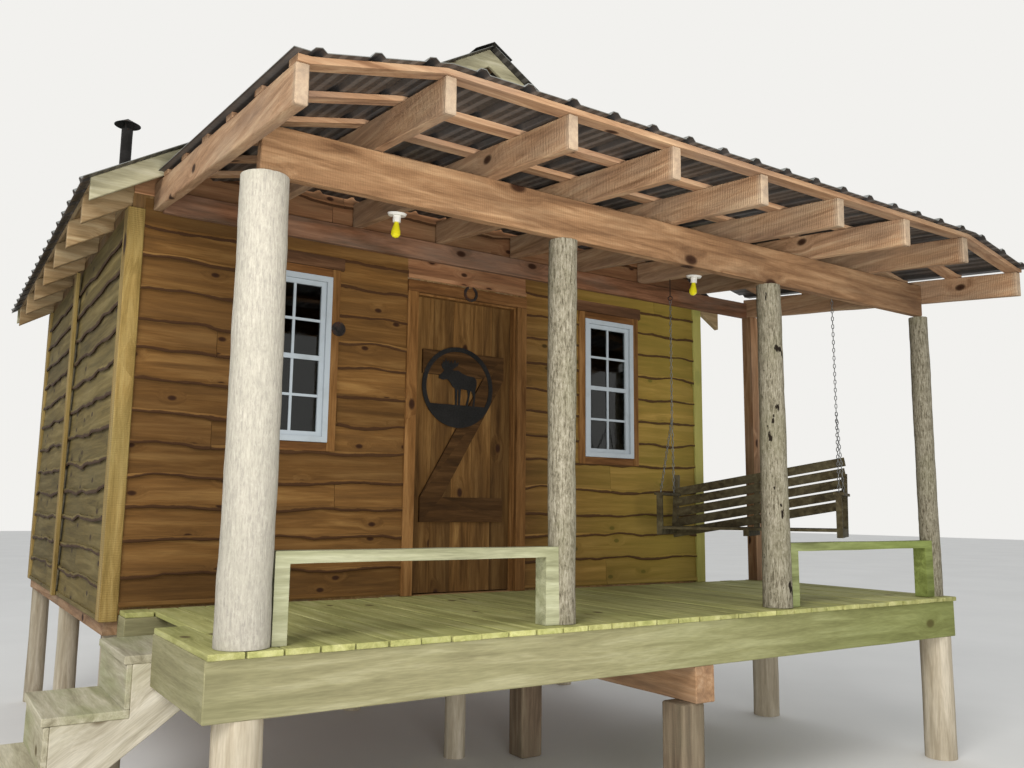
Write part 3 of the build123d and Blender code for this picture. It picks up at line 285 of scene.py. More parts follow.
def soften(piece: Object, width: float, segments: int = 2, angle: float = 30.0) -> None:
    """Bevel a piece's sharp edges.

    Args:
        piece: The piece to work on.
        width: Width of the bevel in metres.
        segments: How many facets it has.
        angle: The widest angle that is left sharp, in degrees.
    """
    limit = math.radians(angle)
    apply_modifier(piece, "BEVEL", width=width, segments=segments, limit_method="ANGLE", angle_limit=limit)


def level_ends(piece: Object, foot: float, top: float = math.inf) -> None:
    """Set what noise has pushed past a piece's level ends back on them.

    Args:
        piece: The piece to work on.
        foot: Height of its foot.
        top: Height of its top, or none.
    """
    for vertex in piece.data.vertices:
        vertex.co.z = min(max(vertex.co.z, foot), top)


def join(name: str, pieces: Sequence[Object]) -> Object:
    """Join pieces into one.

    Args:
        name: The name of the whole.
        pieces: What it is made of.

    Returns:
        The joined piece.
    """
    bpy.ops.object.select_all(action="DESELECT")
    for piece in pieces:
        piece.select_set(True)
    bpy.context.view_layer.objects.active = pieces[0]
    if len(pieces) > 1:
        bpy.ops.object.join()
    whole = bpy.context.view_layer.objects.active
    whole.name = whole.data.name = name
    return whole


def copy_piece(piece: Object, move: Matrix, name: str) -> Object:
    """Copy a piece with a mesh of its own, moved.

    Args:
        piece: The piece to copy.
        move: Where the copy's mesh goes. It may mirror the piece.
        name: The copy's name.

    Returns:
        The copy.
    """
    mesh = piece.data.copy()
    mesh.transform(move)
    if move.is_negative:
        mesh.flip_normals()
    copy = bpy.data.objects.new(name, mesh)
    bpy.context.scene.collection.objects.link(copy)
    return copy


def slice_along(piece: Object, axis: Axis, places: Sequence[float]) -> None:
    """Cut edges across a piece at places along an axis, so that it can bend there.

    Args:
        piece: The piece to work on.
        axis: The axis.
        places: Where the cuts go.
    """
    with editing(piece):
        for place in places:
            bpy.ops.mesh.select_all(action="SELECT")
            bpy.ops.mesh.bisect(plane_co=axis.unit() * place, plane_no=axis.unit())


def span(low: float, high: float, pitch: float) -> list[float]:
    """Even places between two ends, no further apart than a pitch.

    Args:
        low: One end.
        high: The other end.
        pitch: The widest step.

    Returns:
        The places, without the ends.
    """
    count = max(1, math.ceil((high - low) / pitch))
    return [low + (high - low) * step / count for step in range(1, count)]


def reach_of(node: str, axis: Axis) -> tuple[float, float]:
    """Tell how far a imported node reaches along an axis.

    Args:
        node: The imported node.
        axis: The axis.

    Returns:
        Its lowest and its highest place.
    """
    low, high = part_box(node)
    return low[axis.value], high[axis.value]


def crook(
    piece: Object,
    axis: Axis,
    ends: tuple[float, float],
    pitch: float,
    size: float,
    amount: float,
    direction: str = "NORMAL",
) -> None:
    """Cut a piece across its length, and let it run a little crooked.

    Args:
        piece: The piece to work on.
        axis: The axis along which it runs.
        ends: Its places between which it bends.
        pitch: How far apart the bends are.
        size: Size of the clouds that push it, in metres.
        amount: Strength of the push in metres.
        direction: NORMAL, X, Y or Z.
    """
    slice_along(piece, axis, span(*ends, pitch))
    roughen(piece, size, amount, direction)


def shade(piece: Object, angle: float = 35.0) -> None:
    """Shade a piece smooth up to an angle.

    Args:
        piece: The piece to work on.
        angle: The widest smooth edge, in degrees.
    """
    select_only(piece)
    bpy.ops.object.shade_smooth_by_angle(angle=math.radians(angle))


def dress(piece: Object, finish: "Finish", body: Body, nodes: Sequence[str] = ()) -> Object:
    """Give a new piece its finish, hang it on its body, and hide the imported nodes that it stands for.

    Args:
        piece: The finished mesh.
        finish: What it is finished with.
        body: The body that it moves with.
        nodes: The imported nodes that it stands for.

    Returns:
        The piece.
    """
    piece.data.materials.clear()
    piece.data.materials.append(finish.material())
    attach(piece, body.value)
    if nodes:
        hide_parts(*nodes)
    log.info("%s: %d faces", piece.name, len(piece.data.polygons))
    return piece


def node_copy(frame: dict, node: str, name: str) -> Object:
    """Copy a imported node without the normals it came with, its triangles merged into whole faces.

    Args:
        node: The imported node.
        name: The copy's name.

    Returns:
        The copy.
    """
    piece = bpy.data.objects.new(name, frame["nodes"][node].data.copy())
    bpy.context.scene.collection.objects.link(piece)
    select_only(piece)
    bpy.ops.mesh.customdata_custom_splitnormals_clear()
    with editing(piece):
        bpy.ops.mesh.select_all(action="SELECT")
        bpy.ops.mesh.remove_doubles(threshold=0.0001)
        bpy.ops.mesh.dissolve_limited(angle_limit=math.radians(1.0))
    return piece


def worn_copy(frame: dict, node: str, name: str, axis: Axis | None, wave: float, edge: float) -> Object:
    """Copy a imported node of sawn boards, soften its edges and let its boards run a little crooked.

    Args:
        node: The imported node.
        name: The copy's name.
        axis: The axis along which its boards bend, or none.
        wave: Strength of the crookedness in metres.
        edge: Width of the softened edges.

    Returns:
        The copy.
    """
    piece = node_copy(frame, node, name)
    soften(piece, width=edge, segments=1, angle=40.0)
    if axis is not None:
        crook(piece, axis, reach_of(node, axis), pitch=0.16, size=0.45, amount=wave)
        roughen(piece, size=0.09, amount=wave * 0.35)
    level_ends(piece, 0.0)
    return piece


# Finishes


class Graph:
    """A node tree of a material or of the world while it is being laid out."""

    def __init__(self, owner: bpy.types.Material | bpy.types.World) -> None:
        """Start with an empty tree.

        Args:
            owner: The material or the world that the tree belongs to.
        """
        owner.use_nodes = True
        self.owner = owner
        self.tree = owner.node_tree
        self.tree.nodes.clear()

    def put(self, kind: str, inputs: dict | None = None, **settings: object) -> bpy.types.Node:
        """Add a node.

        Args:
            kind: Blender's name for the node.
            inputs: Values or sockets for its inputs, by name or number.
            **settings: The node's own settings.

        Returns:
            The node.
        """
        node = self.tree.nodes.new(f"ShaderNode{kind}")
        for key, value in settings.items():
            setattr(node, key, value)
        for key, value in (inputs or {}).items():
            if isinstance(value, Socket):
                self.tree.links.new(value, node.inputs[key])
            else:
                node.inputs[key].default_value = value
        return node

    def place(self) -> Socket:
        """Give the socket of Object coordinates."""
        return self.put("TexCoord").outputs["Object"]

    def part(self, vector: Socket, index: int) -> Socket:
        """Take one of a vector's three numbers, and give its socket."""
        return self.put("SeparateXYZ", {0: vector}).outputs[index]

    def facing(self, index: int) -> Socket:
        """Give one of the three numbers of the face's own normal."""
        return self.part(self.put("NewGeometry").outputs["True Normal"], index)

    def mapped(self, vector: Socket, **changes: Sequence[float]) -> Socket:
        """Turn or scale a vector, by Mapping's own input names, and give its socket."""
        inputs = {"Vector": vector, **{name.title(): value for name, value in changes.items()}}
        return self.put("Mapping", inputs).outputs[0]

    def sum(self, operation: str, first: Socket | float, second: Socket | float = 0.0) -> Socket:
        """Work out a number from two, and give its socket."""
        return self.put("Math", {0: first, 1: second}, operation=operation).outputs[0]

    def blend(self, first: Socket, second: Socket, share: float, other: float) -> Socket:
        """Add two numbers, each times a share of its own, and give the socket."""
        parts = (self.sum("MULTIPLY", first, share), self.sum("MULTIPLY", second, other))
        return self.sum("ADD", *parts)

    def shifted(self, vector: Socket, shift: dict[int, Socket]) -> Socket:
        """Add numbers to a vector's own, by their index, and give its socket."""
        added = self.put("CombineXYZ", shift).outputs[0]
        return self.put("VectorMath", {0: vector, 1: added}, operation="ADD").outputs[0]

    def mix(
        self, share: Socket | float, first: Socket | tuple, second: Socket | tuple, way: str = "MIX"
    ) -> Socket:
        """Mix two colours by a share, and give the colour's socket."""
        inputs = {0: share, 6: first, 7: second}
        return self.put("Mix", inputs, data_type="RGBA", blend_type=way).outputs[2]

    def ramp(self, value: Socket, stops: Sequence[tuple[float, tuple | float]]) -> Socket:
        """Lay a ramp of colours or greys over a number.

        Args:
            value: The number.
            stops: Places and what stands at each.

        Returns:
            The ramp's colour.
        """
        node = self.put("ValToRGB", {0: value})
        points = node.color_ramp.elements
        while len(points) < len(stops):
            points.new(0.5)
        for point, (place, colour) in zip(points, stops):
            point.position = place
            point.color = colour if isinstance(colour, tuple) else (colour, colour, colour, 1.0)
        return node.outputs[0]

    def reach(self, value: Socket, near: float, far: float, top: float) -> Socket:
        """Rise evenly from 0 at one value to a top at another, and give the socket."""
        inputs = {"Value": value, "From Min": near, "From Max": far, "To Max": top}
        return self.put("MapRange", inputs).outputs[0]

    def noise(
        self, vector: Socket, scale: float, detail: float = 4.0, rough: float = 0.55, twist: float = 0.0
    ) -> Socket:
        """Lay noise over a vector, and give its value's socket."""
        inputs = {"Vector": vector, "Scale": scale, "Detail": detail, "Roughness": rough, "Distortion": twist}
        return self.put("TexNoise", inputs).outputs[0]

    def bump(self, height: Socket, strength: float, distance: float) -> Socket:
        """Raise the surface by a height, at most by a distance in metres, and give the normal."""
        inputs = {"Height": height, "Strength": strength, "Distance": distance}
        return self.put("Bump", inputs).outputs[0]

    def finish(self, inputs: dict) -> bpy.types.Material:
        """Lead a principled shader to the surface.

        Args:
            inputs: Values or sockets for the shader's inputs, by name.

        Returns:
            The material.
        """
        shader = self.put("BsdfPrincipled", inputs)
        self.put("OutputMaterial", {"Surface": shader.outputs[0]})
        return self.owner


@dataclass(frozen=True)
class Finish:
    """What every finish has: a name, and a material made once."""

    name: str

    def material(self) -> bpy.types.Material:
        """The finish's material, made at its first use."""
        return bpy.data.materials.get(self.name) or self.lay_out(Graph(bpy.data.materials.new(self.name)))

    def lay_out(self, graph: Graph) -> bpy.types.Material:
        """Lay out the material's nodes."""
        raise NotImplementedError


# How far a board's tone shifts its figure, along and across the grain
TONE_SHIFT = (17.0, 5.0)
# How much knots are drawn out along the grain, how far the grain bends round them, how dark it gets
KNOT_DRAW = 0.6
KNOT_BEND = 0.035
KNOT_HALO = 0.45
# How much finer the fibres are than the streaks, and how much they darken the wood
FIBRE_FINENESS = 9.0
FIBRE_SHARE = 0.75
# Shares of streaks and fibres in the raised grain, and its height in metres
RAISED_SHARES = (0.6, 0.5)
GRAIN_HEIGHT = 0.004
# Fineness of the stains, and how they are drawn out along the grain
STAIN_SCALE = 4.5
STAIN_DRAW = (0.28, 1.0, 1.0)
# How squarely a face looks sideways to show its side grain
SIDE_FACING = 0.7
# How ragged the line of bark and painted lap shadow is
BARK_SHADOW_RAGGED = 1.2
# The saw's arcs across rough boards
SAW_ARCS = {"Scale": 26.0, "Distortion": 3.0, "Detail": 2.0, "Detail Scale": 2.0}


@dataclass(frozen=True)
class Wood(Finish):
    """Sawn or peeled wood with streaks along its grain, knots, and a tone of its own for each board."""

    dark: str = "7a4a22"
    middle: str = "a8703a"
    pale: str = "c8935a"
    grain: Grain = Grain.ALONG_X
    side_grain: Grain | None = None
    stretch: float = 12.0
    figure: float = 26.0
    knots: float = 0.35
    knot_pitch: float = 3.4
    knot_size: float = 0.07
    knot_colour: str = "2a170d"
    stain: str = "8a8478"
    stain_share: float = 0.25
    tone: float = 0.35
    board_axis: Axis | None = None
    board_start: float = 0.0
    board_width: float = 0.15
    saw: float = 0.0
    bump: float = 0.35
    rough: float = 0.78
    bark_and_lap_shadow: str = ""
    drift: str = ""
    drift_way: str = "MULTIPLY"
    drift_axis: Axis = Axis.X
    drift_reach: tuple[float, float] = (0.0, 1.0)
    drift_share: float = 0.7

    def _tone(self, graph: Graph, place: Socket) -> Socket:
        """A random number for each board: by place where boards are of one width, else by island.

        Args:
            graph: The material's graph.
            place: Object coordinates.

        Returns:
            The number, from 0 to 1.
        """
        if self.board_axis is None:
            return graph.put("NewGeometry").outputs["Random Per Island"]
        apart = graph.sum("SUBTRACT", graph.part(place, self.board_axis.value), self.board_start)
        row = graph.sum("FLOOR", graph.sum("DIVIDE", apart, self.board_width))
        return graph.put("TexWhiteNoise", {"W": row}, noise_dimensions="1D").outputs[0]

    def _along_grain(self, graph: Graph, place: Socket, tone: Socket) -> Socket:
        """Turn Object coordinates along the grain, and shift them for each board.

        Args:
            graph: The material's graph.
            place: Object coordinates.
            tone: The board's random number.

        Returns:
            Coordinates whose X runs along the grain.
        """
        turned = graph.mapped(place, rotation=self.grain.value)
        if self.side_grain is not None:
            sideways = graph.sum("GREATER_THAN", graph.sum("ABSOLUTE", graph.facing(0)), SIDE_FACING)
            other = graph.mapped(place, rotation=self.side_grain.value)
            turned = graph.put("Mix", {0: sideways, 4: turned, 5: other}, data_type="VECTOR").outputs[1]
        shift = {index: graph.sum("MULTIPLY", tone, far) for index, far in enumerate(TONE_SHIFT)}
        return graph.shifted(turned, shift)

    def _knot_marks(self, graph: Graph, laid: Socket) -> tuple[Socket, Socket]:
        """Scatter knots along the grain.

        Args:
            graph: The material's graph.
            laid: Coordinates along the grain.

        Returns:
            The grain's swirl round the knots, and their dark cores.
        """
        split = graph.put("SeparateXYZ", {0: laid}).outputs
        flat = {0: graph.sum("MULTIPLY", split[0], KNOT_DRAW), 1: graph.sum("ADD", split[1], split[2])}
        inputs = {"Vector": graph.put("CombineXYZ", flat).outputs[0], "Scale": self.knot_pitch}
        cells = graph.put("TexVoronoi", inputs, voronoi_dimensions="2D").outputs
        chosen = graph.sum("LESS_THAN", graph.part(cells["Color"], 0), self.knots)
        size = self.knot_size
        near = graph.ramp(cells["Distance"], [(0.0, 1.0), (size, 0.85), (size * 4.0, 0.0)])
        core = graph.ramp(cells["Distance"], [(0.0, 1.0), (size * 0.8, 0.9), (size * 1.3, 0.0)])
        return graph.sum("MULTIPLY", near, chosen), graph.sum("MULTIPLY", core, chosen)

    def _figure(self, graph: Graph, laid: Socket, swirl: Socket) -> tuple[Socket, Socket]:
        """Draw the grain's broad streaks and fine fibres, bent round the knots.

        Args:
            graph: The material's graph.
            laid: Coordinates along the grain.
            swirl: The grain's swirl round the knots.

        Returns:
            The streaks and the fibres.
        """
        drawn = graph.mapped(laid, scale=(1.0 / self.stretch, 1.0, 1.0))
        bend = graph.sum("MULTIPLY", swirl, KNOT_BEND)
        lines = graph.shifted(drawn, {1: bend, 2: bend})
        streak = graph.noise(lines, self.figure, detail=7.0, rough=0.62, twist=0.6)
        return streak, graph.noise(lines, self.figure * FIBRE_FINENESS, detail=3.0, rough=0.5)

    def _drift_and_bark_shadow(self, graph: Graph, base: Socket, place: Socket, laid: Socket) -> Socket:
        """Let the colour drift across the cabin, and line the live edge with bark and with painted shadow
        under the lap.

        Args:
            graph: The material's graph.
            base: The wood's colour so far.
            place: Object coordinates.
            laid: Coordinates along the grain.

        Returns:
            The colour.
        """
        if self.drift:
            share = graph.reach(graph.part(place, self.drift_axis.value), *self.drift_reach, self.drift_share)
            base = graph.mix(share, base, linear(self.drift), self.drift_way)
        # A dark line along each waney lower edge: bark, with painted shadow under the lap
        if self.bark_and_lap_shadow:
            edge = graph.put("Attribute", attribute_name="bark", attribute_type="GEOMETRY").outputs["Fac"]
            ragged = graph.sum("SUBTRACT", graph.noise(laid, 9.0, rough=0.6), 0.5)
            ragged = graph.sum("ADD", edge, graph.sum("MULTIPLY", ragged, BARK_SHADOW_RAGGED))
            base = graph.mix(graph.ramp(ragged, [(0.46, 0.0), (0.60, 0.92)]), base, linear(self.bark_and_lap_shadow))
        return base

    def lay_out(self, graph: Graph) -> bpy.types.Material:
        """Lay out the material's nodes.

        Args:
            graph: The material's graph.

        Returns:
            The material.
        """
        place = graph.place()
        tone = self._tone(graph, place)
        laid = self._along_grain(graph, place, tone)
        swirl, knot = self._knot_marks(graph, laid)
        streak, fibre = self._figure(graph, laid, swirl)
        colours = [(0.30, linear(self.dark)), (0.50, linear(self.middle)), (0.68, linear(self.pale))]
        base = graph.ramp(streak, colours)
        base = graph.mix(FIBRE_SHARE, base, graph.ramp(fibre, [(0.35, 0.78), (0.65, 1.0)]), "MULTIPLY")
        base = graph.mix(1.0, base, graph.ramp(tone, [(0.0, 1.0 - self.tone), (1.0, 1.0)]), "MULTIPLY")
        cloud = graph.noise(graph.mapped(laid, scale=STAIN_DRAW), STAIN_SCALE, rough=0.6)
        base = graph.mix(graph.ramp(cloud, [(0.44, 0.0), (0.70, self.stain_share)]), base, linear(self.stain))
        base = graph.mix(graph.sum("MULTIPLY", swirl, KNOT_HALO), base, linear(self.dark))
        base = graph.mix(knot, base, linear(self.knot_colour))
        base = self._drift_and_bark_shadow(graph, base, place, laid)
        height = graph.blend(streak, fibre, *RAISED_SHARES)
        if self.saw:
            marks = graph.put("TexWave", {"Vector": laid, **SAW_ARCS}, bands_direction="X").outputs["Fac"]
            height = graph.sum("ADD", height, graph.sum("MULTIPLY", marks, self.saw))
        return graph.finish(
            {
                "Base Color": base,
                "Roughness": graph.ramp(streak, [(0.3, min(1.0, self.rough + 0.1)), (0.7, self.rough)]),
                "Normal": graph.bump(height, self.bump, GRAIN_HEIGHT),
                "Specular IOR Level": 0.3,
            }
        )


@dataclass(frozen=True)
class LiveEdge(Wood):
    """Live-edge siding: a long close figure, many small knots, and a dark line along the waney lower edge, of
    bark and painted shadow under the lap.
    """

    stretch: float = 16.0
    figure: float = 17.0
    knots: float = 0.7
    knot_pitch: float = 4.2
    knot_size: float = 0.058
    stain_share: float = 0.45
    bump: float = 0.45
    # The colour of the line along the waney lower edge: bark, with painted shadow under the lap
    bark_and_lap_shadow: str = "3a2515"


@dataclass(frozen=True)
class RoughSawn(Wood):
    """Rough-sawn framing lumber."""

    figure: float = 20.0
    knots: float = 0.4
    stain_share: float = 0.4
    tone: float = 0.3
    rough: float = 0.88


@dataclass(frozen=True)
class Treated(Wood):
    """Pressure-treated boards of the deck, its rim, its rails and the steps."""

    figure: float = 18.0
    knots: float = 0.2
    knot_colour: str = "5d5136"
    tone: float = 0.15
    rough: float = 0.85


@dataclass(frozen=True)
class Bark(Finish):
    """Grey-brown bark in fine upright furrows, flecked with lichen.

    The first post is painted paler as sunlight, and dark spots on the third paint the shade in its holes.
    """

    ridge: str = "7b7462"
    crack: str = "4d4638"
    lichen: str = "9c9583"
    moss: str = "6c6950"
    # Painted sunlight, mixed into the first post by a share
    painted_sunlight: str = "cfc9bd"
    painted_sunlight_share: float = 0.38
    # Painted shade in the holes of the third post
    painted_hole_shade: str = "1f1913"
    scale: float = 120.0
    sunlit_reach: tuple[float, float] = (0.6, 0.4)
    holed_post: tuple[float, float] = (3.18, 0.25)
    furrow_depth: float = 0.006

    def lay_out(self, graph: Graph) -> bpy.types.Material:
        """Lay out the material's nodes.

        Args:
            graph: The material's graph.

        Returns:
            The material.
        """
        place = graph.place()
        short = graph.mapped(place, scale=(1.0, 1.0, 0.45))
        drawn = graph.mapped(place, scale=(1.0, 1.0, 0.12))
        furrows = graph.noise(drawn, self.scale, detail=5.0, rough=0.7, twist=0.4)
        plates = graph.noise(short, self.scale * 0.7, detail=5.0, rough=0.7, twist=0.8)
        rows = graph.blend(furrows, plates, 0.6, 0.4)
        colours = [(0.40, linear(self.crack)), (0.50, linear(self.ridge)), (0.64, linear(self.lichen))]
        base = graph.ramp(rows, colours)
        green = graph.ramp(graph.noise(place, 2.6, rough=0.6), [(0.48, 0.0), (0.70, 0.45)])
        base = graph.mix(green, base, linear(self.moss))
        flecks = graph.noise(short, 60.0, detail=5.0, rough=0.7)
        flecks = graph.ramp(flecks, [(0.58, 0.0), (0.64, 0.55)])
        base = graph.mix(flecks, base, linear(self.lichen))
        along = graph.part(place, 0)
        # Paint sunlight on the first post, paler
        pale = graph.reach(along, *self.sunlit_reach, self.painted_sunlight_share)
        base = graph.mix(pale, base, linear(self.painted_sunlight))
        # Paint the shade in holes on the third post as dark spots
        middle, half = self.holed_post
        beside = graph.sum("LESS_THAN", graph.sum("ABSOLUTE", graph.sum("SUBTRACT", along, middle)), half)
        holes = graph.noise(short, 16.0, detail=3.0, rough=0.6)
        holes = graph.ramp(holes, [(0.63, 0.0), (0.655, 1.0)])
        base = graph.mix(graph.sum("MULTIPLY", holes, beside), base, linear(self.painted_hole_shade))
        normal = graph.bump(rows, strength=1.0, distance=self.furrow_depth)
        return graph.finish(
            {"Base Color": base, "Roughness": 0.92, "Normal": normal, "Specular IOR Level": 0.2}
        )


@dataclass(frozen=True)
class Metal(Finish):
    """Sheet, cast or drawn metal with dull patches, and rust where it is old."""

    colour: str = "8d9192"
    dull: str = "6f7270"
    rust: str = "6b3c20"
    rust_share: float = 0.15
    metallic: float = 0.7
    rough: float = 0.42
    scale: float = 6.0
    # Painted shade on the faces that look down, and painted light along their ribs
    under: str = ""
    underside_rib_light: str = ""
    rib_waves: float = 5.5

    def _painted_underside_shade(self, graph: Graph, base: Socket, place: Socket, patches: Socket) -> Socket:
        """Paint shade on the faces that look down, darker, with painted light in lighter stripes along the
        ribs.

        Args:
            graph: The material's graph.
            base: The colour of the upper face.
            place: Object coordinates.
            patches: The metal's dull patches.

        Returns:
            The colour of both faces.
        """
        beneath = graph.sum("LESS_THAN", graph.facing(2), -0.5)
        inputs = {"Vector": place, "Scale": self.rib_waves}
        waves = graph.put("TexWave", inputs, bands_direction="X").outputs["Fac"]
        ribs = graph.ramp(waves, [(0.45, 0.0), (0.75, 1.0)])
        smut = graph.ramp(patches, [(0.35, 0.6), (0.65, 1.0)])
        lower = graph.mix(ribs, linear(self.under), linear(self.underside_rib_light))
        return graph.mix(beneath, base, graph.mix(1.0, lower, smut, "MULTIPLY"))

    def lay_out(self, graph: Graph) -> bpy.types.Material:
        """Lay out the material's nodes.

        Args:
            graph: The material's graph.

        Returns:
            The material.
        """
        place = graph.place()
        patches = graph.noise(place, self.scale, detail=5.0, rough=0.6, twist=0.3)
        specks = graph.noise(place, self.scale * 14.0, detail=3.0, rough=0.6)
        base = graph.ramp(patches, [(0.35, linear(self.dull)), (0.65, linear(self.colour))])
        edge = 0.36 - 0.14 * self.rust_share
        stops = [(edge, 0.0), (edge + 0.10, min(1.0, self.rust_share * 2.0))]
        eaten = graph.ramp(graph.sum("MULTIPLY", patches, specks), stops)
        base = graph.mix(eaten, base, linear(self.rust))
        # Painted shade on the faces that look down, lighter along the ribs
        if self.under:
            base = self._painted_underside_shade(graph, base, place, patches)
        sheen = graph.ramp(specks, [(0.3, self.rough), (0.7, min(1.0, self.rough + 0.18))])
        sheen = graph.sum("ADD", sheen, graph.sum("MULTIPLY", eaten, 0.3))
        normal = graph.bump(specks, strength=0.1, distance=0.002)
        return graph.finish(
            {"Base Color": base, "Roughness": sheen, "Normal": normal, "Metallic": self.metallic}
        )


@dataclass(frozen=True)
class Enamel(Finish):
    """Smooth moulded or glazed stuff, faintly soiled."""

    colour: str = "e9e8e2"
    soil: str = "b8b4a4"
    rough: float = 0.35

    def lay_out(self, graph: Graph) -> bpy.types.Material:
        """Lay out the material's nodes.

        Args:
            graph: The material's graph.

        Returns:
            The material.
        """
        place = graph.place()
        dirt = graph.ramp(graph.noise(place, 9.0, detail=5.0, rough=0.6), [(0.50, 0.0), (0.75, 0.35)])
        grit = graph.noise(place, 220.0, detail=2.0, rough=0.5)
        return graph.finish(
            {
                "Base Color": graph.mix(dirt, linear(self.colour), linear(self.soil)),
                "Roughness": graph.ramp(dirt, [(0.0, self.rough), (0.4, self.rough + 0.25)]),
                "Normal": graph.bump(grit, strength=0.08, distance=0.001),
            }
        )


@dataclass(frozen=True)
class Glass(Finish):
    """Tinted window glass, faintly dusty, over a dark room."""

    colour: str = "46524a"

    def lay_out(self, graph: Graph) -> bpy.types.Material:
        """Lay out the material's nodes.

        Args:
            graph: The material's graph.

        Returns:
            The material.
        """
        place = graph.place()
        dust = graph.noise(place, 14.0, rough=0.6)
        waves = graph.noise(place, 3.0, detail=1.0, rough=0.5)
        return graph.finish(
            {
                "Base Color": linear(self.colour),
                "Roughness": graph.ramp(dust, [(0.4, 0.0), (0.8, 0.12)]),
                "Normal": graph.bump(waves, strength=0.05, distance=0.004),
                "Transmission Weight": 1.0,
                "IOR": 1.5,
            }
        )


SIDING = LiveEdge(
    "siding_boards", dark="593e20", middle="714f28", pale="896639", knots=0.75, stain="5d4326",
    drift="5b571d", drift_way="ADD", drift_reach=(2.4, 3.9), drift_share=1.0,
)
GABLE_SIDING = LiveEdge(
    "gable_boards", dark="6b4730", middle="8f6444", pale="a87d5a", knots=0.6, stain="7c684d",
    stain_share=0.4, drift="b4ae90", drift_way="MIX", drift_axis=Axis.Z, drift_reach=(4.1, 4.7),
    drift_share=0.6,
)
SIDE_SIDING = LiveEdge(
    "side_siding_boards", dark="4f4323", middle="6d5d31", pale="887748", grain=Grain.ALONG_Y,
    stain="5f5636",
)
BACK_SIDING = LiveEdge("back_siding_boards", dark="5d4b2b", middle="80693c", pale="9a8454", stain="736a4c")
INNER_BOARDS = Wood(
    "inner_boards", dark="6c4e2f", middle="87673f", pale="9f7f55", grain=Grain.ALONG_Z,
    board_axis=Axis.X, board_width=0.2, knots=0.3,
)
TRIM = Wood(
    "corner_boards", dark="6d572c", middle="957b46", pale="ae965e", grain=Grain.ALONG_Z, figure=22.0,
    knot_pitch=3.0, knot_size=0.11, stain="75693f", stain_share=0.4, tone=0.15, saw=0.9,
    drift="a8a65a", drift_way="MIX", drift_reach=(3.0, 4.1), drift_share=0.65,
)
CASING = Wood(
    "casing_boards", dark="563719", middle="7b552d", pale="966e41", grain=Grain.ALONG_Z, figure=24.0,
    knots=0.2, tone=0.3, stain="4b351f",
)
CASING_ACROSS = Wood(
    "casing_head_boards", dark="4e3119", middle="6f4a28", pale="8a623a", figure=24.0, knots=0.2,
    tone=0.3, stain="4b351f",
)
HEADER_BOARDS = Wood(
    "header_boards", dark="3a2718", middle="543925", pale="6b4d35", figure=22.0, knots=0.4, tone=0.2,
    stain="44352a",
)
PLANKS = Wood(
    "door_planks", dark="452e15", middle="6c4c27", pale="88663a", grain=Grain.ALONG_Z, figure=20.0,
    knot_size=0.06, board_axis=Axis.X, board_start=1.585, board_width=0.1576, tone=0.4,
    stain="49351d", stain_share=0.4,
)
LEDGES = Wood(
    "door_ledge_boards", dark="291a0b", middle="442d15", pale="583d21", figure=20.0, knots=0.3,
    tone=0.2, stain="38260f",
)
ROUGH_BEAM = RoughSawn(
    "rough_sawn_beam", dark="634730", middle="8c6a4b", pale="a88764", knot_pitch=2.6, stain="55402f",
    stain_share=0.65, tone=0.15, saw=0.7, bump=0.5,
)
ROUGH_RAFTER = RoughSawn(
    "rough_sawn_rafters", dark="805f45", middle="a78464", pale="c0a17e", grain=Grain.ALONG_Y, knots=0.3,
    stain="7d6f60", stain_share=0.45, saw=0.7, bump=0.5, drift="979181", drift_way="MIX",
    drift_axis=Axis.Y, drift_reach=(-0.68, -0.74), drift_share=0.55,
)
ROUGH_PURLIN = RoughSawn(
    "rough_sawn_purlins", dark="846146", middle="ab8564", pale="c4a17d", knots=0.25, stain="84756a",
    stain_share=0.35, bump=0.45,
)
LEDGER = RoughSawn(
    "ledger_boards", dark="4c3320", middle="704c35", pale="8b6247", stain_share=0.25, tone=0.2,
)
UPRIGHT = RoughSawn(
    "rear_post_lumber", dark="6b4a33", middle="8d6a4b", pale="a98867", grain=Grain.ALONG_Z,
    stain="75685a", stain_share=0.45, tone=0.2, saw=0.4,
)
ROOF_FRAME = RoughSawn(
    "roof_frame_lumber", dark="78603f", middle="a08560", pale="bba47e", grain=Grain.ALONG_Y, knots=0.3,
    stain="8b8268",
)
RAFTER_PAIRS = replace(ROOF_FRAME, name="roof_rafter_lumber", grain=Grain.ALONG_X)
RAKES = RoughSawn(
    "rake_lumber", dark="827b61", middle="a19a7c", pale="b9b297", knots=0.35, stain="979079", tone=0.15,
)
TREATED = Treated(
    "treated_rim_boards", side_grain=Grain.ALONG_Y, dark="7f7959", middle="938d69", pale="a7a17e",
    knots=0.3, knot_pitch=2.4, knot_size=0.06, stain="83845c", stain_share=0.2,
    drift="dcf0ac", drift_reach=(1.5, 4.6), drift_share=0.8,
)
RAILS = Treated(
    "treated_rails", dark="76745a", middle="979578", pale="b0ae92", knots=0.25, stain="83865e",
    stain_share=0.35, drift="c6dc7e", drift_reach=(1.2, 4.2), drift_share=0.85,
)
TREATED_DECK = Treated(
    "deck_boards", dark="8c8a52", middle="b0ad6e", pale="c6c288", grain=Grain.ALONG_Y,
    knot_colour="5f5436", stain="81864b", stain_share=0.45, tone=0.25,
)
STEPS = Treated(
    "step_planks", dark="918970", middle="b6ae94", pale="cec6ae", grain=Grain.ALONG_Y, stain="828b54",
    stain_share=0.5, tone=0.2, rough=0.88,
)
STRINGERS = Treated(
    "step_string_boards", dark="9a917b", middle="c2b9a4", pale="d8d0bd", grain=Grain.ALONG_STEPS,
    knots=0.4, knot_pitch=2.4, knot_colour="6a5f49", stain="a39f7e", stain_share=0.3, rough=0.88,
)
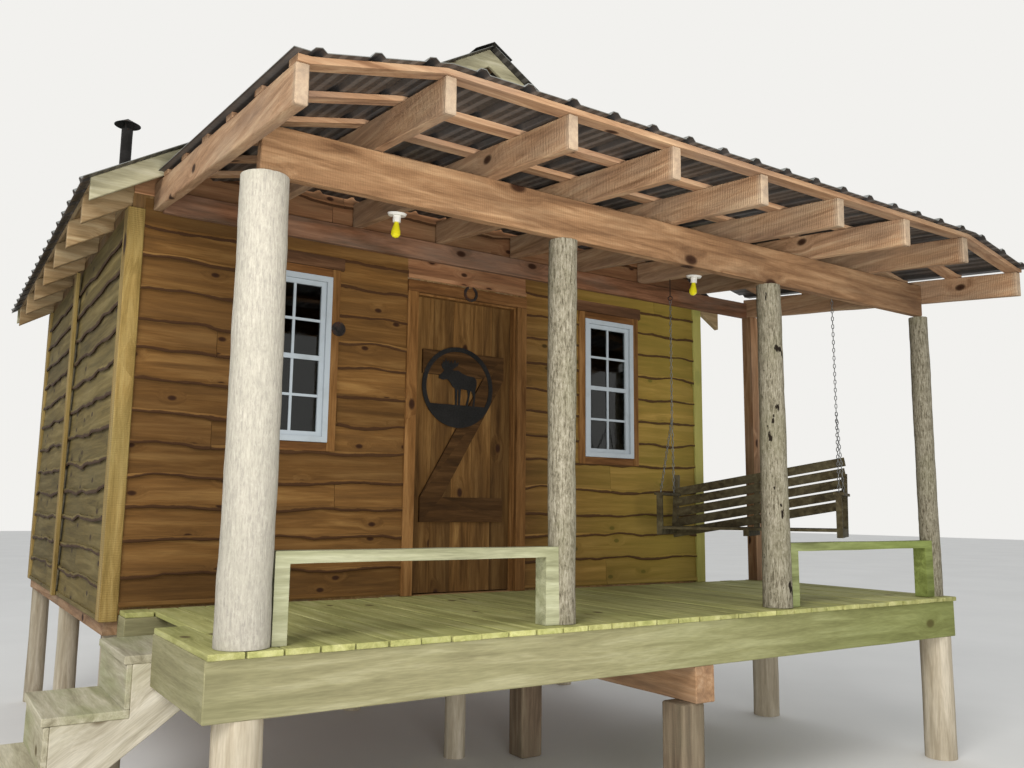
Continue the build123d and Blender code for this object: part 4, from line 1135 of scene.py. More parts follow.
GIRDER = Wood(
    "girder_boards", dark="785a42", middle="9a7858", pale="b29272", grain=Grain.ALONG_Y, figure=18.0,
    knots=0.25, stain="75685a", stain_share=0.4, tone=0.2, rough=0.88,
)
PEELED = Wood(
    "peeled_logs", dark="988a72", middle="b8ab94", pale="d0c4ae", grain=Grain.ALONG_Z, figure=20.0,
    knots=0.25, knot_pitch=4.0, stain="978e7a", stain_share=0.45, tone=0.2, rough=0.9,
)
PIER_LUMBER = Wood(
    "squared_pier_lumber", dark="55473a", middle="736250", pale="8e7d67", grain=Grain.ALONG_Z,
    figure=20.0, knots=0.4, stain="6c6753", stain_share=0.5, tone=0.2, saw=0.3, rough=0.9,
)
SWING_SLATS = Wood(
    "swing_slats", dark="2c2518", middle="453c28", pale="5d553d", knots=0.15, knot_colour="1c1512",
    stain="5d5742", stain_share=0.35, tone=0.3, rough=0.75,
)
FLOOR_BOARDS = Wood(
    "floor_boards", dark="8d5f33", middle="b0824f", pale="c8a06d", board_axis=Axis.Y,
    board_width=0.14, knots=0.3,
)
POST_BARK = Bark("post_bark")
# Its faces that look down are painted darker as shade, with painted light along the ribs
ROOF_METAL = Metal(
    "ribbed_roofing", colour="8b8e8c", dull="6b6a63", rust="6a4a33", rust_share=0.25, metallic=0.4,
    scale=3.0, under="484543", underside_rib_light="6b6764",
)
CAP_METAL = Metal("ridge_cap_metal", colour="5b5a56", dull="45433f", rust_share=0.1, scale=3.0)
PIPE_METAL = Metal(
    "stovepipe_metal", colour="3a3836", dull="292725", rust="5a3521", rust_share=0.3, rough=0.6
)
PLATE_METAL = Metal(
    "cut_plate", colour="1b1a19", dull="121110", rust="3a2418", rust_share=0.1, metallic=0.0, rough=0.75
)
IRON = Metal(
    "old_iron", colour="4c4744", dull="332f2d", rust="6b3d22", rust_share=0.6, rough=0.6, scale=20.0
)
CHAIN_STEEL = Metal("chain_steel", colour="a4a6a6", dull="7d7f7f", metallic=0.9, rough=0.35, scale=30.0)
SCREW_STEEL = Metal(
    "screw_steel", colour="9b9d9c", dull="77797a", rust_share=0.3, metallic=0.9, rough=0.4, scale=30.0
)
VINYL = Enamel("window_vinyl", colour="9ca3a7", soil="7f8482", rough=0.4)
PORCELAIN = Enamel("lampholder_porcelain", colour="efece4", soil="c9c2ae", rough=0.2)
BULB = Enamel("yellow_bulbs", colour="dcd024", soil="c0ac1c", rough=0.15)
GLASS = Glass("window_glass_panes")


# Sub-assemblies


@dataclass(frozen=True)
class Opening:
    """The outline of a window's casing on a wall's face, from the wall's start and the boards' foot."""

    left: float
    right: float
    foot: float
    top: float


@dataclass
class WallFace:
    """One wall's framed core and the live-edge boards lapped on its weather face.

    The boards are laid out with the wall facing -Y and their run along +X from the origin, then turned
    and moved to the wall.
    """

    node: str
    start: tuple[float, float, float]
    turn: float
    run: float
    height: float
    finish: Wood
    seed: int
    opening: Opening | None = None
    foot_lift: float = 0.0
    gable: bool = False
    course_height: float = 0.177
    course_play: float = 0.014
    proud: float = 0.0255
    top_proud: float = 0.005
    station: float = 0.045
    lip: float = 0.007
    # The band of bark and painted lap shadow at a board's lower edge: its height, and how far its top row
    # follows the wave
    bark_shadow_height: float = 0.028
    bark_shadow_follow: float = 0.6
    lip_setback: float = 0.005
    overlap: float = 0.045
    thickness: float = 0.016
    wave: float = 0.075
    wave_size: float = 0.42
    ripple: float = 0.011
    ripple_size: float = 0.07
    cup: float = 0.004
    cup_size: float = 0.30
    butt_gap: float = 0.003
    butt_share: float = 0.65
    butt_reach: tuple[float, float] = (0.25, 0.75)
    shortest_butted: float = 1.2

    def build(self, frame: dict) -> None:
        """Build the core and the boards.
        """
        core = self._core(frame)
        dress(core, INNER_BOARDS, Body.CABIN, [self.node])
        boards = self._boards()
        dress(boards, self.finish, Body.CABIN)

    def _core(self, frame: dict) -> Object:
        """The wall without its siding: a copy of the node, cut off at the stud face.


        Returns:
            The core.
        """
        piece = node_copy(frame, self.node, f"{self.node}_framing")
        outward = Matrix.Rotation(self.turn, 3, "Z") @ Vector((0, -1, 0))
        with editing(piece):
            bpy.ops.mesh.select_all(action="SELECT")
            place = Vector(self.start) + outward * HAIR
            bpy.ops.mesh.bisect(plane_co=place, plane_no=outward, use_fill=True, clear_outer=True)
        return piece

    def _board(self, left: float, right: float, foot: float, top: float) -> Object:
        """One board's face as a strip of five rows of points, leaning in at its top.

        Args:
            left: Where it starts along the run.
            right: Where it ends.
            foot: Height of its lower edge.
            top: Height of its upper edge.

        Returns:
            The strip.
        """
        bpy.ops.object.select_all(action="DESELECT")
        bpy.ops.mesh.primitive_grid_add(
            x_subdivisions=max(3, round((right - left) / self.station)),
            y_subdivisions=4,
            size=1.0,
            location=((left + right) / 2, -self.proud, (foot + top) / 2),
            rotation=(math.pi / 2, 0, 0),
        )
        strip = bpy.context.object
        strip.scale = (right - left, top - foot, 1.0)
        bpy.ops.object.transform_apply(location=True, rotation=True, scale=True)
        row = (top - foot) / 4
        lean = (self.proud - self.top_proud) / (top - foot)
        levels = [foot, foot + self.lip, foot + self.bark_shadow_height, foot + (top - foot) / 2, top]
        waney = foot > self.course_height / 2
        for index, level in reversed(list(enumerate(levels))):
            setback = self.lip_setback if index == 0 else lean * (level - foot)
            self._shift(strip, foot + index * row, (0, setback, level - foot - index * row))
        group = strip.vertex_groups.new(name="lower")
        for vertex in strip.data.vertices:
            height = vertex.co.z - foot
            if waney and height < self.bark_shadow_height + 2 * HAIR:
                follow = 1.0 if height < self.lip + 2 * HAIR else self.bark_shadow_follow
                group.add([vertex.index], follow, "REPLACE")
        return strip

    @staticmethod
    def _shift(strip: Object, level: float, move: Sequence[float]) -> None:
        """Move the row of points at a level.

        Args:
            strip: The board's face.
            level: Height of the row.
            move: How far it goes.
        """
        pick(strip, lambda place: abs(place.z - level) < 4 * HAIR)
        with editing(strip):
            bpy.ops.transform.translate(value=move)

    def _strips(self) -> list[Object]:
        """The boards' faces, course by course, some of them butted from two boards.

        Returns:
            The strips.
        """
        chance = random.Random(self.seed)
        courses = max(1, round(self.height / self.course_height))
        course = self.height / courses
        play = self.course_play
        inner = [row * course + chance.uniform(-play, play) for row in range(1, courses)]
        laps = [self.foot_lift, *inner, self.height]
        gap = self.butt_gap / 2
        strips = []
        for foot, lap in zip(laps, laps[1:]):
            top = min(self.height, lap + self.overlap)
            ends = [0.0, self.run]
            if self.run > self.shortest_butted and chance.random() < self.butt_share:
                ends.insert(1, self.run * chance.uniform(*self.butt_reach))
            for left, right in zip(ends, ends[1:]):
                start = left + (gap if left else 0.0)
                end = right - (gap if right < self.run else 0.0)
                strips.append(self._board(start, end, foot, top))
        return strips

    def _boards(self) -> Object:
        """All the boards of the face, cut round its opening and to its gable, on their wall.

        Returns:
            The boards.
        """
        boards = join(f"{self.node}_boards", self._strips())
        # Mark the waney lower edges, where bark and painted shadow under the lap are drawn
        bark = boards.data.attributes.new("bark", "FLOAT", "POINT")
        for vertex in boards.data.vertices:
            on_edge = any(held.weight >= 1.0 for held in vertex.groups)
            bark.data[vertex.index].value = 1.0 if on_edge else 0.0
        roughen(boards, self.wave_size, self.wave, "Z", "lower")
        roughen(boards, self.ripple_size, self.ripple, "Z", "lower")
        roughen(boards, self.cup_size, self.cup, "Y")
        if self.opening is not None:
            self._cut_opening(boards, self.opening)
        if self.gable:
            self._cut_gable(boards)
        apply_modifier(boards, "SOLIDIFY", thickness=self.thickness, offset=-1.0)
        boards.rotation_euler = (0, 0, self.turn)
        boards.location = self.start
        select_only(boards)
        bpy.ops.object.transform_apply(location=True, rotation=True, scale=True)
        shade(boards, angle=30)
        return boards

    @staticmethod
    def _cut_opening(boards: Object, opening: Opening) -> None:
        """Cut the boards off round a window's casing.

        Args:
            boards: The strips.
            opening: The casing's outline.
        """
        left, right, foot, top = opening.left, opening.right, opening.foot, opening.top
        for axis, place in ((Axis.X, left), (Axis.X, right), (Axis.Z, foot), (Axis.Z, top)):
            slice_along(boards, axis, [place])
        pick_faces(boards, lambda centre, _: left < centre.x < right and foot < centre.z < top)
        with editing(boards, faces=True):
            bpy.ops.mesh.delete(type="FACE")

    def _cut_gable(self, boards: Object) -> None:
        """Cut the boards off along both slopes of the roof.

        Args:
            boards: The strips.
        """
        crown = ROOF_PITCH * HALF_SPAN + RAFTER_RISE - 4 * HAIR
        for side in (-1, 1):
            slope = Vector((side * ROOF_PITCH, 0, 1)).normalized()
            with editing(boards):
                bpy.ops.mesh.select_all(action="SELECT")
                bpy.ops.mesh.bisect(plane_co=(self.run / 2, 0, crown), plane_no=slope, clear_outer=True)


@dataclass(frozen=True)
class LogPlace:
    """Where a log stands, its radii at foot and head, and how far its middle stands out of line."""

    x: float
    y: float
    foot_radius: float
    head_radius: float
    bow: float


@dataclass
class Logs:
    """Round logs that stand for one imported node: bark-covered posts or peeled piers."""

    name: str
    node: str
    finish: Finish
    slot: str
    places: list[LogPlace]
    foot: float
    top: float
    sides: int = 48
    pitch: float = 0.035
    swell: float = 0.009
    swell_size: float = 0.28
    ridge: float = 0.004
    ridge_size: float = 0.022
    press: float = 0.3

    def build(self) -> None:
        """Build every log and dress them as one piece."""
        piece = join(self.name, [self._log(place) for place in self.places])
        shade(piece, angle=50)
        dress(piece, self.finish, Body.CABIN, [self.node])

    def _log(self, place: LogPlace) -> Object:
        """One log: a round bar, tapered, bowed and roughened, with its ends level.

        Args:
            place: Where it stands, and its thickness.

        Returns:
            The log.
        """
        length = self.top - self.foot
        bpy.ops.object.select_all(action="DESELECT")
        bpy.ops.mesh.primitive_cylinder_add(
            vertices=self.sides, radius=1.0, depth=length, location=(0, 0, (self.foot + self.top) / 2)
        )
        piece = bpy.context.object
        bpy.ops.object.transform_apply(location=True, rotation=True, scale=True)
        slice_along(piece, Axis.Z, span(self.foot, self.top, self.pitch))
        for vertex in piece.data.vertices:
            share = (vertex.co.z - self.foot) / length
            radius = place.foot_radius + (place.head_radius - place.foot_radius) * share
            lean = place.bow * math.sin(math.pi * share)
            vertex.co.x = place.x + vertex.co.x * radius + lean
            vertex.co.y = place.y + vertex.co.y * radius + lean / 2
        roughen(piece, self.swell_size, self.swell)
        self._stretch(piece, self.press)
        roughen(piece, self.ridge_size, self.ridge)
        self._stretch(piece, 1 / self.press)
        level_ends(piece, self.foot, self.top)
        return piece

    @staticmethod
    def _stretch(piece: Object, share: float) -> None:
        """Press a log flat or draw it out again along its length, so that noise runs along it.

        Args:
            piece: The log.
            share: Its new length as a share of its old one.
        """
        with editing(piece):
            bpy.ops.mesh.select_all(action="SELECT")
            bpy.ops.transform.resize(value=(1, 1, share), center_override=(0, 0, 0))


@dataclass
class PorchDeck:
    """Deck boards laid front to back, each a little different, with a notch for the steps."""

    left: float = -0.167
    right: float = 4.855
    front: float = -0.125
    notch_edge: float = 0.050
    notch_front: float = 0.780
    notch_back: float = 1.450
    boards: int = 33
    gap: float = 0.008
    deepest: float = 0.003
    shortest: float = 0.012
    seed: int = 11

    def build(self) -> None:
        """Build the boards and dress them."""
        chance = random.Random(self.seed)
        pitch = (self.right - self.left) / self.boards
        planks = []
        for index in range(self.boards):
            start = self.left + index * pitch
            spans = [(self.front, STUD_FACE)]
            if start + pitch / 2 < self.notch_edge:
                spans = [(self.front, self.notch_front), (self.notch_back, STUD_FACE)]
            sink = chance.uniform(0.0, self.deepest)
            for near, far in spans:
                shy = chance.uniform(0.0, self.shortest) if near == self.front else 0.0
                low = (start + self.gap / 2, near + shy, DECK_UNDERSIDE)
                high = (start + pitch - self.gap / 2, far, DECK_TOP - sink)
                planks.append(block("plank", low, high))
        deck = join("deck_planks", planks)
        soften(deck, width=0.004)
        crook(deck, Axis.Y, (self.front, STUD_FACE), pitch=0.16, size=0.35, amount=0.004, direction="X")
        dress(deck, TREATED_DECK, Body.CABIN, ["porch_deck"])


@dataclass
class Casings:
    """Boards round the doorway and round both windows, butted at their corners."""

    thickness: float = 0.032
    level_setback: float = 0.002
    door_half: float = 0.400
    door_board: float = 0.078
    window_board: float = 0.055
    window_half: tuple[float, float] = (0.235, 0.523)
    window_middle: float = 2.537

    def build(self) -> None:
        """Build the upright and the level boards and dress them."""
        upright, level = [], []
        for side in (-1, 1):
            upright.append(self._jamb_board(side))
            uprights, levels = self._window_boards(CABIN_MID + side * WINDOW_OFFSET)
            upright += uprights
            level += levels
        level.append(self._head_board())
        for name, boards, axis, finish in (
            ("casing_uprights", upright, Axis.Z, CASING),
            ("casing_heads", level, Axis.X, CASING_ACROSS),
        ):
            piece = join(name, boards)
            soften(piece, width=0.003)
            crook(piece, axis, reach_of("casings", axis), pitch=0.15, size=0.30, amount=0.004)
            dress(piece, finish, Body.CABIN, ["casings"])

    def _jamb_board(self, side: int) -> Object:
        """The upright board at one side of the doorway.

        Args:
            side: -1 on the left, 1 on the right.

        Returns:
            The board.
        """
        near, far = side * self.door_half, side * (self.door_half + self.door_board)
        left, right = sorted((CABIN_MID + near, CABIN_MID + far))
        low = (left, STUD_FACE - self.thickness, DECK_TOP)
        return block("jamb_board", low, (right, STUD_FACE, DOOR_HEAD))

    def _head_board(self) -> Object:
        """The level board over the doorway.

        Returns:
            The board.
        """
        edge = self.door_half + self.door_board
        low = (CABIN_MID - edge, STUD_FACE - self.thickness, DOOR_HEAD)
        return block("head_board", low, (CABIN_MID + edge, STUD_FACE, DOOR_HEAD + self.door_board))

    def _window_boards(self, middle: float) -> tuple[list[Object], list[Object]]:
        """The four boards round a window.

        Args:
            middle: The window's middle along the wall.

        Returns:
            The upright and the level boards.
        """
        front = STUD_FACE - self.thickness
        board = self.window_board
        half_x, half_z = self.window_half
        foot, head = self.window_middle - half_z, self.window_middle + half_z
        upright, level = [], []
        for hand in (-1, 1):
            left, right = sorted((middle + hand * half_x, middle + hand * (half_x + board)))
            low, high = (left, front, foot - board), (right, STUD_FACE, head + board)
            upright.append(block("side_board", low, high))
        for lowest, highest in ((foot - board, foot), (head, head + board)):
            low = (middle - half_x, front + self.level_setback, lowest)
            level.append(block("end_board", low, (middle + half_x, STUD_FACE, highest)))
        return upright, level


@dataclass
class Fittings:
    """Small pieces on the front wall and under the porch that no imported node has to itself."""

    header_half: float = 0.315
    header_front: float = 1.592
    header_levels: tuple[float, float] = (3.116, 3.196)
    header_bends: tuple[float, float] = (0.4, 3.6)
    disc_place: tuple[float, float, float] = (1.012, 1.590, 2.734)
    disc_radius: float = 0.046
    disc_thickness: float = 0.006
    disc_steps: tuple[tuple[float, float], ...] = ((0.007, 0.003), (0.022, -0.005), (0.006, 0.0))
    pier_middle: float = 2.400
    pier_rows: tuple[float, float] = (0.0, 1.490)
    pier_half: float = 0.0815
    pier_top: float = 0.607

    def build(self) -> None:
        """Build the boards over the windows, the disc by the left one and the squared piers."""
        self._headers()
        self._disc()
        self._squared_piers()

    def _headers(self) -> None:
        """Build a dark board over each window's casing."""
        boards = []
        foot, top = self.header_levels
        for side in (-1, 1):
            middle = CABIN_MID + side * WINDOW_OFFSET
            low = (middle - self.header_half, self.header_front, foot)
            boards.append(block("header", low, (middle + self.header_half, STUD_FACE, top)))
        piece = join("window_header_boards", boards)
        soften(piece, width=0.003)
        crook(piece, Axis.X, self.header_bends, pitch=0.12, size=0.30, amount=0.005)
        dress(piece, HEADER_BOARDS, Body.CABIN)

    def _disc(self) -> None:
        """Build a dark iron disc with a raised rim and a boss, screwed to a casing."""
        bpy.ops.object.select_all(action="DESELECT")
        bpy.ops.mesh.primitive_cylinder_add(
            vertices=40,
            radius=self.disc_radius,
            depth=self.disc_thickness,
            location=self.disc_place,
            rotation=(math.pi / 2, 0, 0),
        )
        disc = bpy.context.object
        disc.name = disc.data.name = "casing_disc"
        bpy.ops.object.transform_apply(location=True, rotation=True, scale=True)
        pick_faces(disc, lambda centre, normal: normal.y < -0.9)
        with editing(disc, faces=True):
            for inset, push in self.disc_steps:
                bpy.ops.mesh.inset(thickness=inset)
                if push:
                    bpy.ops.mesh.extrude_region_move(TRANSFORM_OT_translate={"value": (0, push, 0)})
        shade(disc)
        dress(disc, IRON, Body.CABIN)

    def _squared_piers(self) -> None:
        """Build two squared posts with waney corners under the girder."""
        left, right = self.pier_middle - self.pier_half, self.pier_middle + self.pier_half
        piers = []
        for middle in self.pier_rows:
            high = (right, middle + self.pier_half, self.pier_top)
            piers.append(block("pier", (left, middle - self.pier_half, 0.0), high))
        piece = join("squared_piers", piers)
        soften(piece, width=0.014)
        crook(piece, Axis.Z, (0.0, self.pier_top), pitch=0.08, size=0.12, amount=0.003)
        level_ends(piece, 0.0, self.pier_top)
        dress(piece, PIER_LUMBER, Body.CABIN, ["porch_piers"])


@dataclass
class RoofScrews:
    """Rows of hex-headed screws with washers along the laths and purlins."""

    head_radius: float = 0.006
    head_height: float = 0.005
    washer_radius: float = 0.009
    washer_height: float = 0.0018
    rib_pitch: float = 0.2286
    ribs: range = range(-8, 9)
    seat: float = 0.003
    laths: int = 5
    lath_margin: float = 0.075
    slope_reach: float = 2.477
    lath_thickness: float = 0.022
    roof_middle: float = 3.360
    roof_ends: tuple[float, float] = (1.45, 5.27)
    cut_corner: tuple[float, float] = (1.68, 1.62)
    porch_slope: float = 0.11
    porch_middle: float = 2.354
    porch_ends: tuple[float, float] = (0.55, 4.15)
    purlins: int = 6
    purlin_reach: tuple[float, float] = (-0.732, 1.289)
    purlin_half: float = 0.046
    beam_line: float = -0.058
    beam_top: float = 3.230
    porch_depths: tuple[float, float] = (0.158, 0.026)

    def build(self) -> None:
        """Build the screws of each roof slope and of the porch roof."""
        model = self._screw()
        screws = []
        for place, normal in [*self._main_places(), *self._porch_places()]:
            turn = Vector(normal).to_track_quat("Z", "Y").to_matrix().to_4x4()
            screws.append(copy_piece(model, Matrix.Translation(place) @ turn, "screw"))
        bpy.data.objects.remove(model)
        dress(join("roof_screws", screws), SCREW_STEEL, Body.CABIN)

    def _screw(self) -> Object:
        """Model a screw: a washer with a hexagon extruded from it.

        Returns:
            The screw, upright at the origin.
        """
        bpy.ops.object.select_all(action="DESELECT")
        height = self.washer_height
        bpy.ops.mesh.primitive_cylinder_add(
            vertices=6, radius=self.washer_radius, depth=height, location=(0, 0, height / 2)
        )
        screw = bpy.context.object
        bpy.ops.object.transform_apply(location=True, rotation=True, scale=True)
        pick_faces(screw, lambda centre, normal: normal.z > 0.9)
        with editing(screw, faces=True):
            bpy.ops.mesh.inset(thickness=self.washer_radius - self.head_radius)
            bpy.ops.mesh.extrude_region_move(TRANSFORM_OT_translate={"value": (0, 0, self.head_height)})
        return screw

    def _main_places(self) -> Iterator[tuple[Vector, Vector]]:
        """Go over the laths of both main slopes, but for the cut corner at the front right.

        Returns:
            Each screw's place and the roof's normal there, one after another.
        """
        angle = math.atan(ROOF_PITCH)
        plumb = 1 / math.cos(angle)
        crown_z = PLATE_TOP + ROOF_PITCH * HALF_SPAN + RAFTER_RISE + self.lath_thickness * plumb
        front, back = self.roof_ends
        cut_x, cut_y = self.cut_corner
        for side in (-1, 1):
            down = Vector((side * math.cos(angle), 0, -math.sin(angle)))
            normal = Vector((side * math.sin(angle), 0, math.cos(angle)))
            for lath in range(self.laths):
                share = lath / (self.laths - 1)
                run = self.lath_margin + share * (self.slope_reach * plumb - 2 * self.lath_margin)
                for rib in self.ribs:
                    crown = Vector((CABIN_MID, self.roof_middle + (rib + 0.5) * self.rib_pitch, crown_z))
                    place = crown + down * run + normal * self.seat
                    on_cut = side > 0 and place.x > CABIN_MID + cut_x and place.y < cut_y
                    if front < place.y < back and not on_cut:
                        yield place, normal

    def _porch_places(self) -> Iterator[tuple[Vector, Vector]]:
        """Go over the purlins of the porch roof's level part.

        Returns:
            Each screw's place and the roof's normal there, one after another.
        """
        normal = Vector((0, -self.porch_slope, 1)).normalized()
        front, back = self.purlin_reach
        left, right = self.porch_ends
        for row in range(self.purlins):
            y = front + row * (back - front) / (self.purlins - 1) + self.purlin_half
            z = self.beam_top + self.porch_slope * (y - self.beam_line) + sum(self.porch_depths) + self.seat
            for rib in self.ribs:
                x = self.porch_middle + (rib + 0.5) * self.rib_pitch
                if left < x < right:
                    yield Vector((x, y, z + 2 * HAIR)), normal


@dataclass
class SwingChains:
    """Welded links in place of the swing's plain rods."""

    link_length: float = 0.034
    link_width: float = 0.020
    wire: float = 0.0028
    nested_wires: float = 2.2
    axis_level: float = 3.212
    split_level: float = 2.310
    hooks: tuple[tuple[float, float], tuple[float, float]] = ((3.5486, 1.255), (4.1582, 0.265))
    arm_along: float = 0.601
    arm_across: tuple[float, float] = (-0.180, 0.190)
    balance: float = 0.088
    arm_top: float = 1.749

    def build(self) -> None:
        """Build the links of both chains and dress them."""
        model = self._link()
        ends = [Vector((x, y, 0)) for x, y in self.hooks]
        along = (ends[1] - ends[0]).normalized()
        across = Vector((0, 0, 1)).cross(along)
        middle = (ends[0] + ends[1]) / 2 - across * self.balance
        links = []
        for side, hook in zip((-1, 1), ends):
            top = hook + Vector((0, 0, self.axis_level))
            split = hook + Vector((0, 0, self.split_level))
            links += self._run(model, top, split, along)
            for reach in self.arm_across:
                eye = middle + along * (side * self.arm_along) + across * reach
                links += self._run(model, split, eye + Vector((0, 0, self.arm_top)), along)
        bpy.data.objects.remove(model)
        piece = join("swing_chain_links", links)
        shade(piece, angle=60)
        dress(piece, CHAIN_STEEL, Body.SWING, ["swing_chains"])

    def _link(self) -> Object:
        """Model a link: a ring drawn out to its length.

        Returns:
            The link, its length along X.
        """
        bpy.ops.object.select_all(action="DESELECT")
        bpy.ops.mesh.primitive_torus_add(
            major_segments=12,
            minor_segments=6,
            major_radius=self.link_width / 2 - self.wire,
            minor_radius=self.wire,
        )
        link = bpy.context.object
        for side in (-1, 1):
            pick(link, lambda place, side=side: place.x * side > HAIR)
            with editing(link):
                shift = side * (self.link_length - self.link_width) / 2
                bpy.ops.transform.translate(value=(shift, 0, 0))
        return link

    def _run(self, model: Object, start: Vector, end: Vector, side: Vector) -> list[Object]:
        """Lay links between two points, each turned a quarter from the last.

        Args:
            model: The link to copy, its length along X.
            start: Where the run starts.
            end: Where it ends.
            side: A direction that the first link's flat side faces.

        Returns:
            The copies.
        """
        way = end - start
        pitch = self.link_length - self.nested_wires * self.wire
        count = max(1, round(way.length / pitch))
        forward = way.normalized()
        level = (side - forward * side.dot(forward)).normalized()
        turned = forward.cross(level)
        links = []
        for index in range(count):
            flat = level if index % 2 else turned
            turn = Matrix((forward, forward.cross(flat), flat)).transposed().to_4x4()
            place = start + way * ((index + 0.5) / count)
            links.append(copy_piece(model, Matrix.Translation(place) @ turn, "link"))
        return links


@dataclass(frozen=True)
class Sawn:
    """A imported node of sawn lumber, and how its softened, slightly crooked copy is made."""

    node: str
    name: str
    finish: Wood
    slot: str
    axis: Axis | None = None
    wave: float = 0.0
    edge: float = 0.004
    body: Body = Body.CABIN

    def build(self, frame: dict) -> None:
        """Build the copy and dress it.
        """
        piece = worn_copy(frame, self.node, self.name, self.axis, self.wave, self.edge)
        if self.node == "porch_purlins":
            self._shorten(piece)
        dress(piece, self.finish, self.body, [self.node])

    @staticmethod
    def _shorten(piece: Object) -> None:
        """Cut the purlins off flush with the outer rafters.

        Args:
            piece: The purlins.
        """
        low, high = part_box("porch_rafters")
        with editing(piece):
            for place, way in ((low[0], (-1, 0, 0)), (high[0], (1, 0, 0))):
                bpy.ops.mesh.select_all(action="SELECT")
                bpy.ops.mesh.bisect(plane_co=(place, 0, 0), plane_no=way, clear_outer=True, use_fill=True)


SAWN_PIECES = (
    Sawn("porch_beam", "beam_rough_sawn", ROUGH_BEAM, "beam_wood", Axis.X, 0.014),
    Sawn("porch_rafters", "rafters_rough_sawn", ROUGH_RAFTER, "weathered_timber", Axis.Y, 0.012),
    Sawn("porch_purlins", "purlins_rough_sawn", ROUGH_PURLIN, "weathered_timber", Axis.X, 0.008, 0.002),
    Sawn("porch_ledger", "ledger_rough_sawn", LEDGER, "ledger_wood", Axis.X, 0.006),
    Sawn("porch_rim", "rim_boards", TREATED, "grey_board", Axis.X, 0.006),
    Sawn("porch_rails", "low_rails", RAILS, "rail_wood", Axis.X, 0.008),
    Sawn("porch_girder", "girder_board", GIRDER, "red_timber", Axis.Y, 0.006),
    Sawn("porch_joists", "deck_joists", GIRDER, "rough_timber", Axis.X, 0.006),
    Sawn("wall_trim", "corner_boards", TRIM, "trim", Axis.Z, 0.004),
    Sawn("rake_boards", "rake_boards_sawn", RAKES, "grey_board", Axis.X, 0.006),
    Sawn("main_rafters", "roof_rafters", RAFTER_PAIRS, "rough_timber"),
    Sawn("step_treads", "step_planks", STEPS, "deck_wood", Axis.Y, 0.006),
    Sawn("step_stringers", "step_cut_strings", STRINGERS, "deck_wood"),
    Sawn("step_risers", "step_riser_boards", STEPS, "deck_wood", Axis.Y, 0.005),
    Sawn("swing_bench", "swing_slatted_bench", SWING_SLATS, "swing_wood", edge=0.002, body=Body.SWING),
)

PLAIN_NODES: dict[str, Finish] = {
    "cabin_floor": FLOOR_BOARDS,
    "cabin_sills": GIRDER,
    "floor_joists": GIRDER,
    "door_frame": CASING,
    "door_leaf": PLANKS,
    "door_ledges": LEDGES,
    "door_plaque": PLATE_METAL,
    "door_hinges": IRON,
    "frame_hinges": IRON,
    "horseshoe": IRON,
    "eave_blocks": ROOF_FRAME,
    "ridge_board": ROOF_FRAME,
    "roof_laths": ROOF_FRAME,
    "ridge_cap": CAP_METAL,
    "main_roof_left": ROOF_METAL,
    "main_roof_right": ROOF_METAL,
    "porch_roof": ROOF_METAL,
    "stovepipe": PIPE_METAL,
    "stovepipe_flashing": PIPE_METAL,
    "lamp_holders": PORCELAIN,
    "lamp_bulbs": BULB,
    "porch_rear_post": UPRIGHT,
    "swing_hooks": IRON,
    "window_frames": VINYL,
    "window_glass": GLASS,
}


def dress_plain_nodes(frame: dict) -> None:
    """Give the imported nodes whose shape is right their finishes.
    """
    for node, finish in PLAIN_NODES.items():
        data = frame["nodes"][node].data
        data.materials.clear()
        data.materials.append(finish.material())
        log.info("%s: packed shape, %s", node, finish.name)


@dataclass(frozen=True)
class Lamp:
    """A square soft lamp: where it stands, what it faces, its size, its watts and its spread in degrees."""

    name: str
    place: tuple[float, float, float]
    aim: tuple[float, float, float]
    size: float
    power: float
    spread: float

    def build(self) -> None:
        """Set up the lamp, unseen by the camera and in gloss."""
        data = bpy.data.lights.new(self.name, "AREA")
        data.size = self.size
        data.energy = self.power
        data.spread = math.radians(self.spread)
        lamp = bpy.data.objects.new(self.name, data)
        lamp.location = self.place
        lamp.visible_camera = lamp.visible_glossy = False
        way = Vector(self.aim) - Vector(self.place)
        lamp.rotation_euler = way.to_track_quat("-Z", "Y").to_euler()
        bpy.context.scene.collection.objects.link(lamp)


